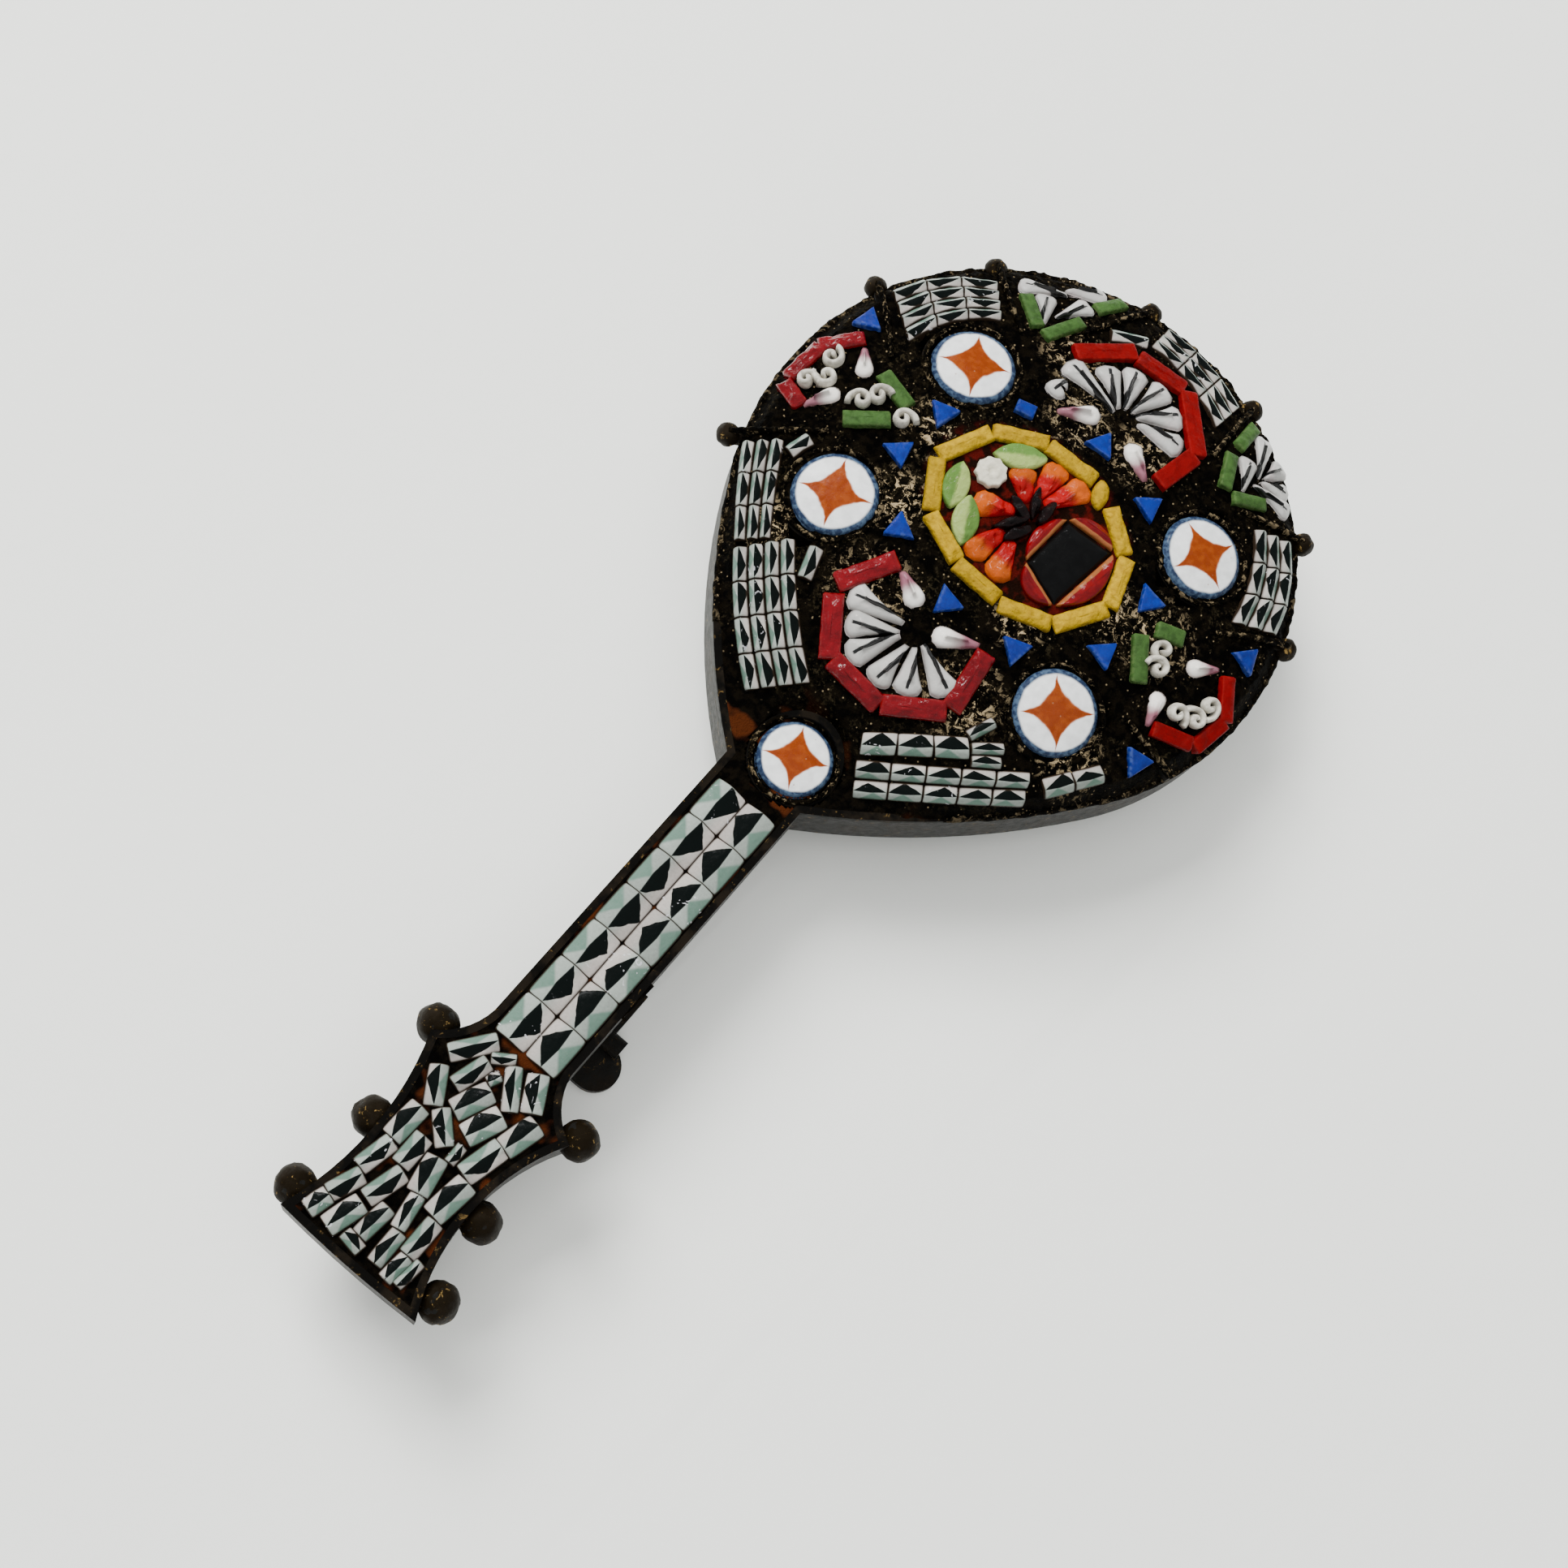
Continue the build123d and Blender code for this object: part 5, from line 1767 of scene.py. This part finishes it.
def middle_picture() -> list[Any]:
    """The pieces of the round middle picture, in the order in which they are built."""
    mustard = PlainGlass("mustard_glass", rgb(0.33, 0.205, 0.0016), rgb(0.23, 0.135, 0.002), rgb(0.13, 0.075, 0.008),
                         roughness=0.5, coat=0.0, bump=0.8, grain=4.0, specular=0.2)
    black = PlainGlass("jet_glass", rgb(0.002, 0.002, 0.002), rgb(0.003, 0.003, 0.003),
                       roughness=0.10, coat=0.12, bump=0.10, grain=2.0, specular=0.10)
    stamen = PlainGlass("stamen_glass", rgb(0.002, 0.0015, 0.0015), rgb(0.006, 0.002, 0.002),
                        roughness=0.14, coat=0.15, bump=0.9, specular=0.15)
    chalk = PlainGlass("chalk_glass", rgb(0.60, 0.57, 0.45), rgb(0.50, 0.47, 0.36),
                       roughness=0.4, coat=0.1, bump=0.3, grain=5.0)
    leaf = SplitGlass("leaf_glass", rgb(0.065, 0.135, 0.025), rgb(0.21, 0.28, 0.075), lengthwise=False, glints=0.20)
    flame = SplitGlass("flame_glass", rgb(0.21, 0.0005, 0.0015), rgb(0.30, 0.048, 0.0004), lengthwise=True,
                       glints=0.18, border=0.2, soft=0.30)
    return [
        StonePiece("medallion_bars", mustard, Slot.MUSTARD,
                   RoundStone(edge=0.20, crown=0.04, grow=0.02, stretch=0.17, uneven=0.08)),
        StonePiece("medallion_disc", black, Slot.BLACK, RoundStone(edge=0.45, crown=0.10, grow=0.08, uneven=0.02)),
        CrescentPiece("medallion_crescents", CrescentGlass("crescent_glass"), Slot.RED,
                      RoundStone(edge=0.16, crown=0.06, grow=0.06, uneven=0.05)),
        StonePiece("medallion_petals", flame, Slot.ORANGE,
                   RoundStone(edge=0.26, crown=0.10, grow=0.20, stretch=0.05, uneven=0.14)),
        StonePiece("medallion_stamens", stamen, Slot.BLACK,
                   RoundStone(edge=0.12, crown=0.04, lift=0.10, grow=0.02, stretch=0.35, uneven=0.16)),
        StonePiece("medallion_leaves", leaf, Slot.GREEN, RoundStone(edge=0.14, crown=0.04, grow=0.16, uneven=0.08)),
        RosettePiece("medallion_flower", chalk, Slot.WHITE, RoundStone(edge=0.10, crown=0.0, grow=0.02)),
    ]


def cells() -> list[Any]:
    """The pieces of the shells, cells and flowers, in the order in which they are built."""
    crimson = PlainGlass("deep_red_glass", rgb(0.120, 0.0002, 0.0030), rgb(0.080, 0.0002, 0.0022),
                         rgb(0.16, 0.006, 0.006), roughness=0.14, coat=0.45, bump=0.6, grain=1.6, specular=0.25)
    scarlet = PlainGlass("scarlet_glass", rgb(0.135, 0.0003, 0.0012), rgb(0.095, 0.0003, 0.0010),
                         rgb(0.16, 0.004, 0.004), roughness=0.5, coat=0.0, bump=0.3, grain=2.0, specular=0.15)
    moss = PlainGlass("moss_glass", rgb(0.034, 0.078, 0.017), rgb(0.020, 0.047, 0.010), rgb(0.06, 0.10, 0.03),
                      roughness=0.45, coat=0.0, bump=0.4, specular=0.2)
    cobalt = PlainGlass("cobalt_glass", rgb(0.0025, 0.015, 0.165), rgb(0.002, 0.010, 0.110), rgb(0.04, 0.07, 0.20),
                        roughness=0.40, coat=0.05, specular=0.25)
    petal, drop = PetalGlass("petal_glass"), DropGlass("drop_glass")
    bar = RoundStone(edge=0.12, crown=0.02, grow=0.06, stretch=0.06)
    rod = RoundStone(edge=0.18, crown=0.05, grow=0.09, stretch=0.14, uneven=0.12)
    plate = RoundStone(edge=0.07, crown=0.01, grow=0.06, stretch=0.16)
    tear = RoundStone(edge=0.36, crown=0.20, lift=0.20, grow=0.12, stretch=0.12, taper=0.30, spine=0.75)
    bead = RoundStone(edge=0.34, crown=0.26, lift=0.20, grow=0.05, stretch=0.02, spine=0.7, uneven=0.06)
    chip = RoundStone(edge=0.10, crown=0.03, grow=0.03)
    return [
        StonePiece("blue_triangles", cobalt, Slot.BLUE, chip),
        StonePiece("near_shell_bars", crimson, Slot.RED, rod),
        PetalPiece("near_shell_petals", petal, Slot.WHITE, tear),
        StonePiece("near_shell_drops", drop, Slot.ROSE, bead),
        StonePiece("far_shell_bars", scarlet, Slot.RED, plate),
        PetalPiece("far_shell_petals", petal, Slot.WHITE, tear),
        StonePiece("far_shell_drops", drop, Slot.ROSE, bead),
        StonePiece("left_cell_bars", crimson, Slot.RED, rod),
        StonePiece("left_cell_green_bars", moss, Slot.GREEN, bar),
        StonePiece("left_cell_drops", drop, Slot.ROSE, bead),
        Curls("left_cell_curls", 3),
        StonePiece("right_cell_bars", scarlet, Slot.RED, plate),
        StonePiece("right_cell_green_bars", moss, Slot.GREEN, bar),
        StonePiece("right_cell_drops", drop, Slot.ROSE, bead),
        Curls("right_cell_curls", 4),
        StonePiece("left_flower_leaves", moss, Slot.GREEN, bar),
        PetalPiece("left_flower_petals", petal, Slot.WHITE, tear),
        StonePiece("right_flower_leaves", moss, Slot.GREEN, bar),
        PetalPiece("right_flower_petals", petal, Slot.WHITE, tear),
    ]


def canes_and_stars() -> list[Any]:
    """The fields of canes and the star discs, in the order in which they are built."""
    disc = RoundStone(edge=0.30, crown=0.16, grow=0.02, uneven=0.03)
    fields = [
        CanePiece("neck_canes", Outward.FROM_AXIS, 11),
        CanePiece("head_canes", Outward.FROM_HEAD_SIDES, 12, grow=0.09),
        CanePiece("near_left_canes", Outward.FROM_BODY, 13),
        CanePiece("near_right_canes", Outward.FROM_BODY, 14),
        CanePiece("far_left_canes", Outward.FROM_BODY, 15),
        CanePiece("far_right_canes", Outward.FROM_BODY, 16),
        CanePiece("far_end_canes", Outward.FROM_BODY, 17),
    ]
    return fields + [StarDisc("star_disc_" + star.name, StarGlass("star_glass"), Slot.STAR, disc, angle=star.angle)
                     for star in STARS]


def main() -> None:
    """Builds the brooch's looks and the studio."""
    logging.basicConfig(level=logging.INFO, format="%(message)s")
    crusts = [MetalParts(), CementBed(), WireWork(), RimCrust(), BallSkins()]
    for piece in crusts + middle_picture() + cells() + canes_and_stars():
        piece.build()
    Studio().build()


if __name__ == "__main__":
    main()
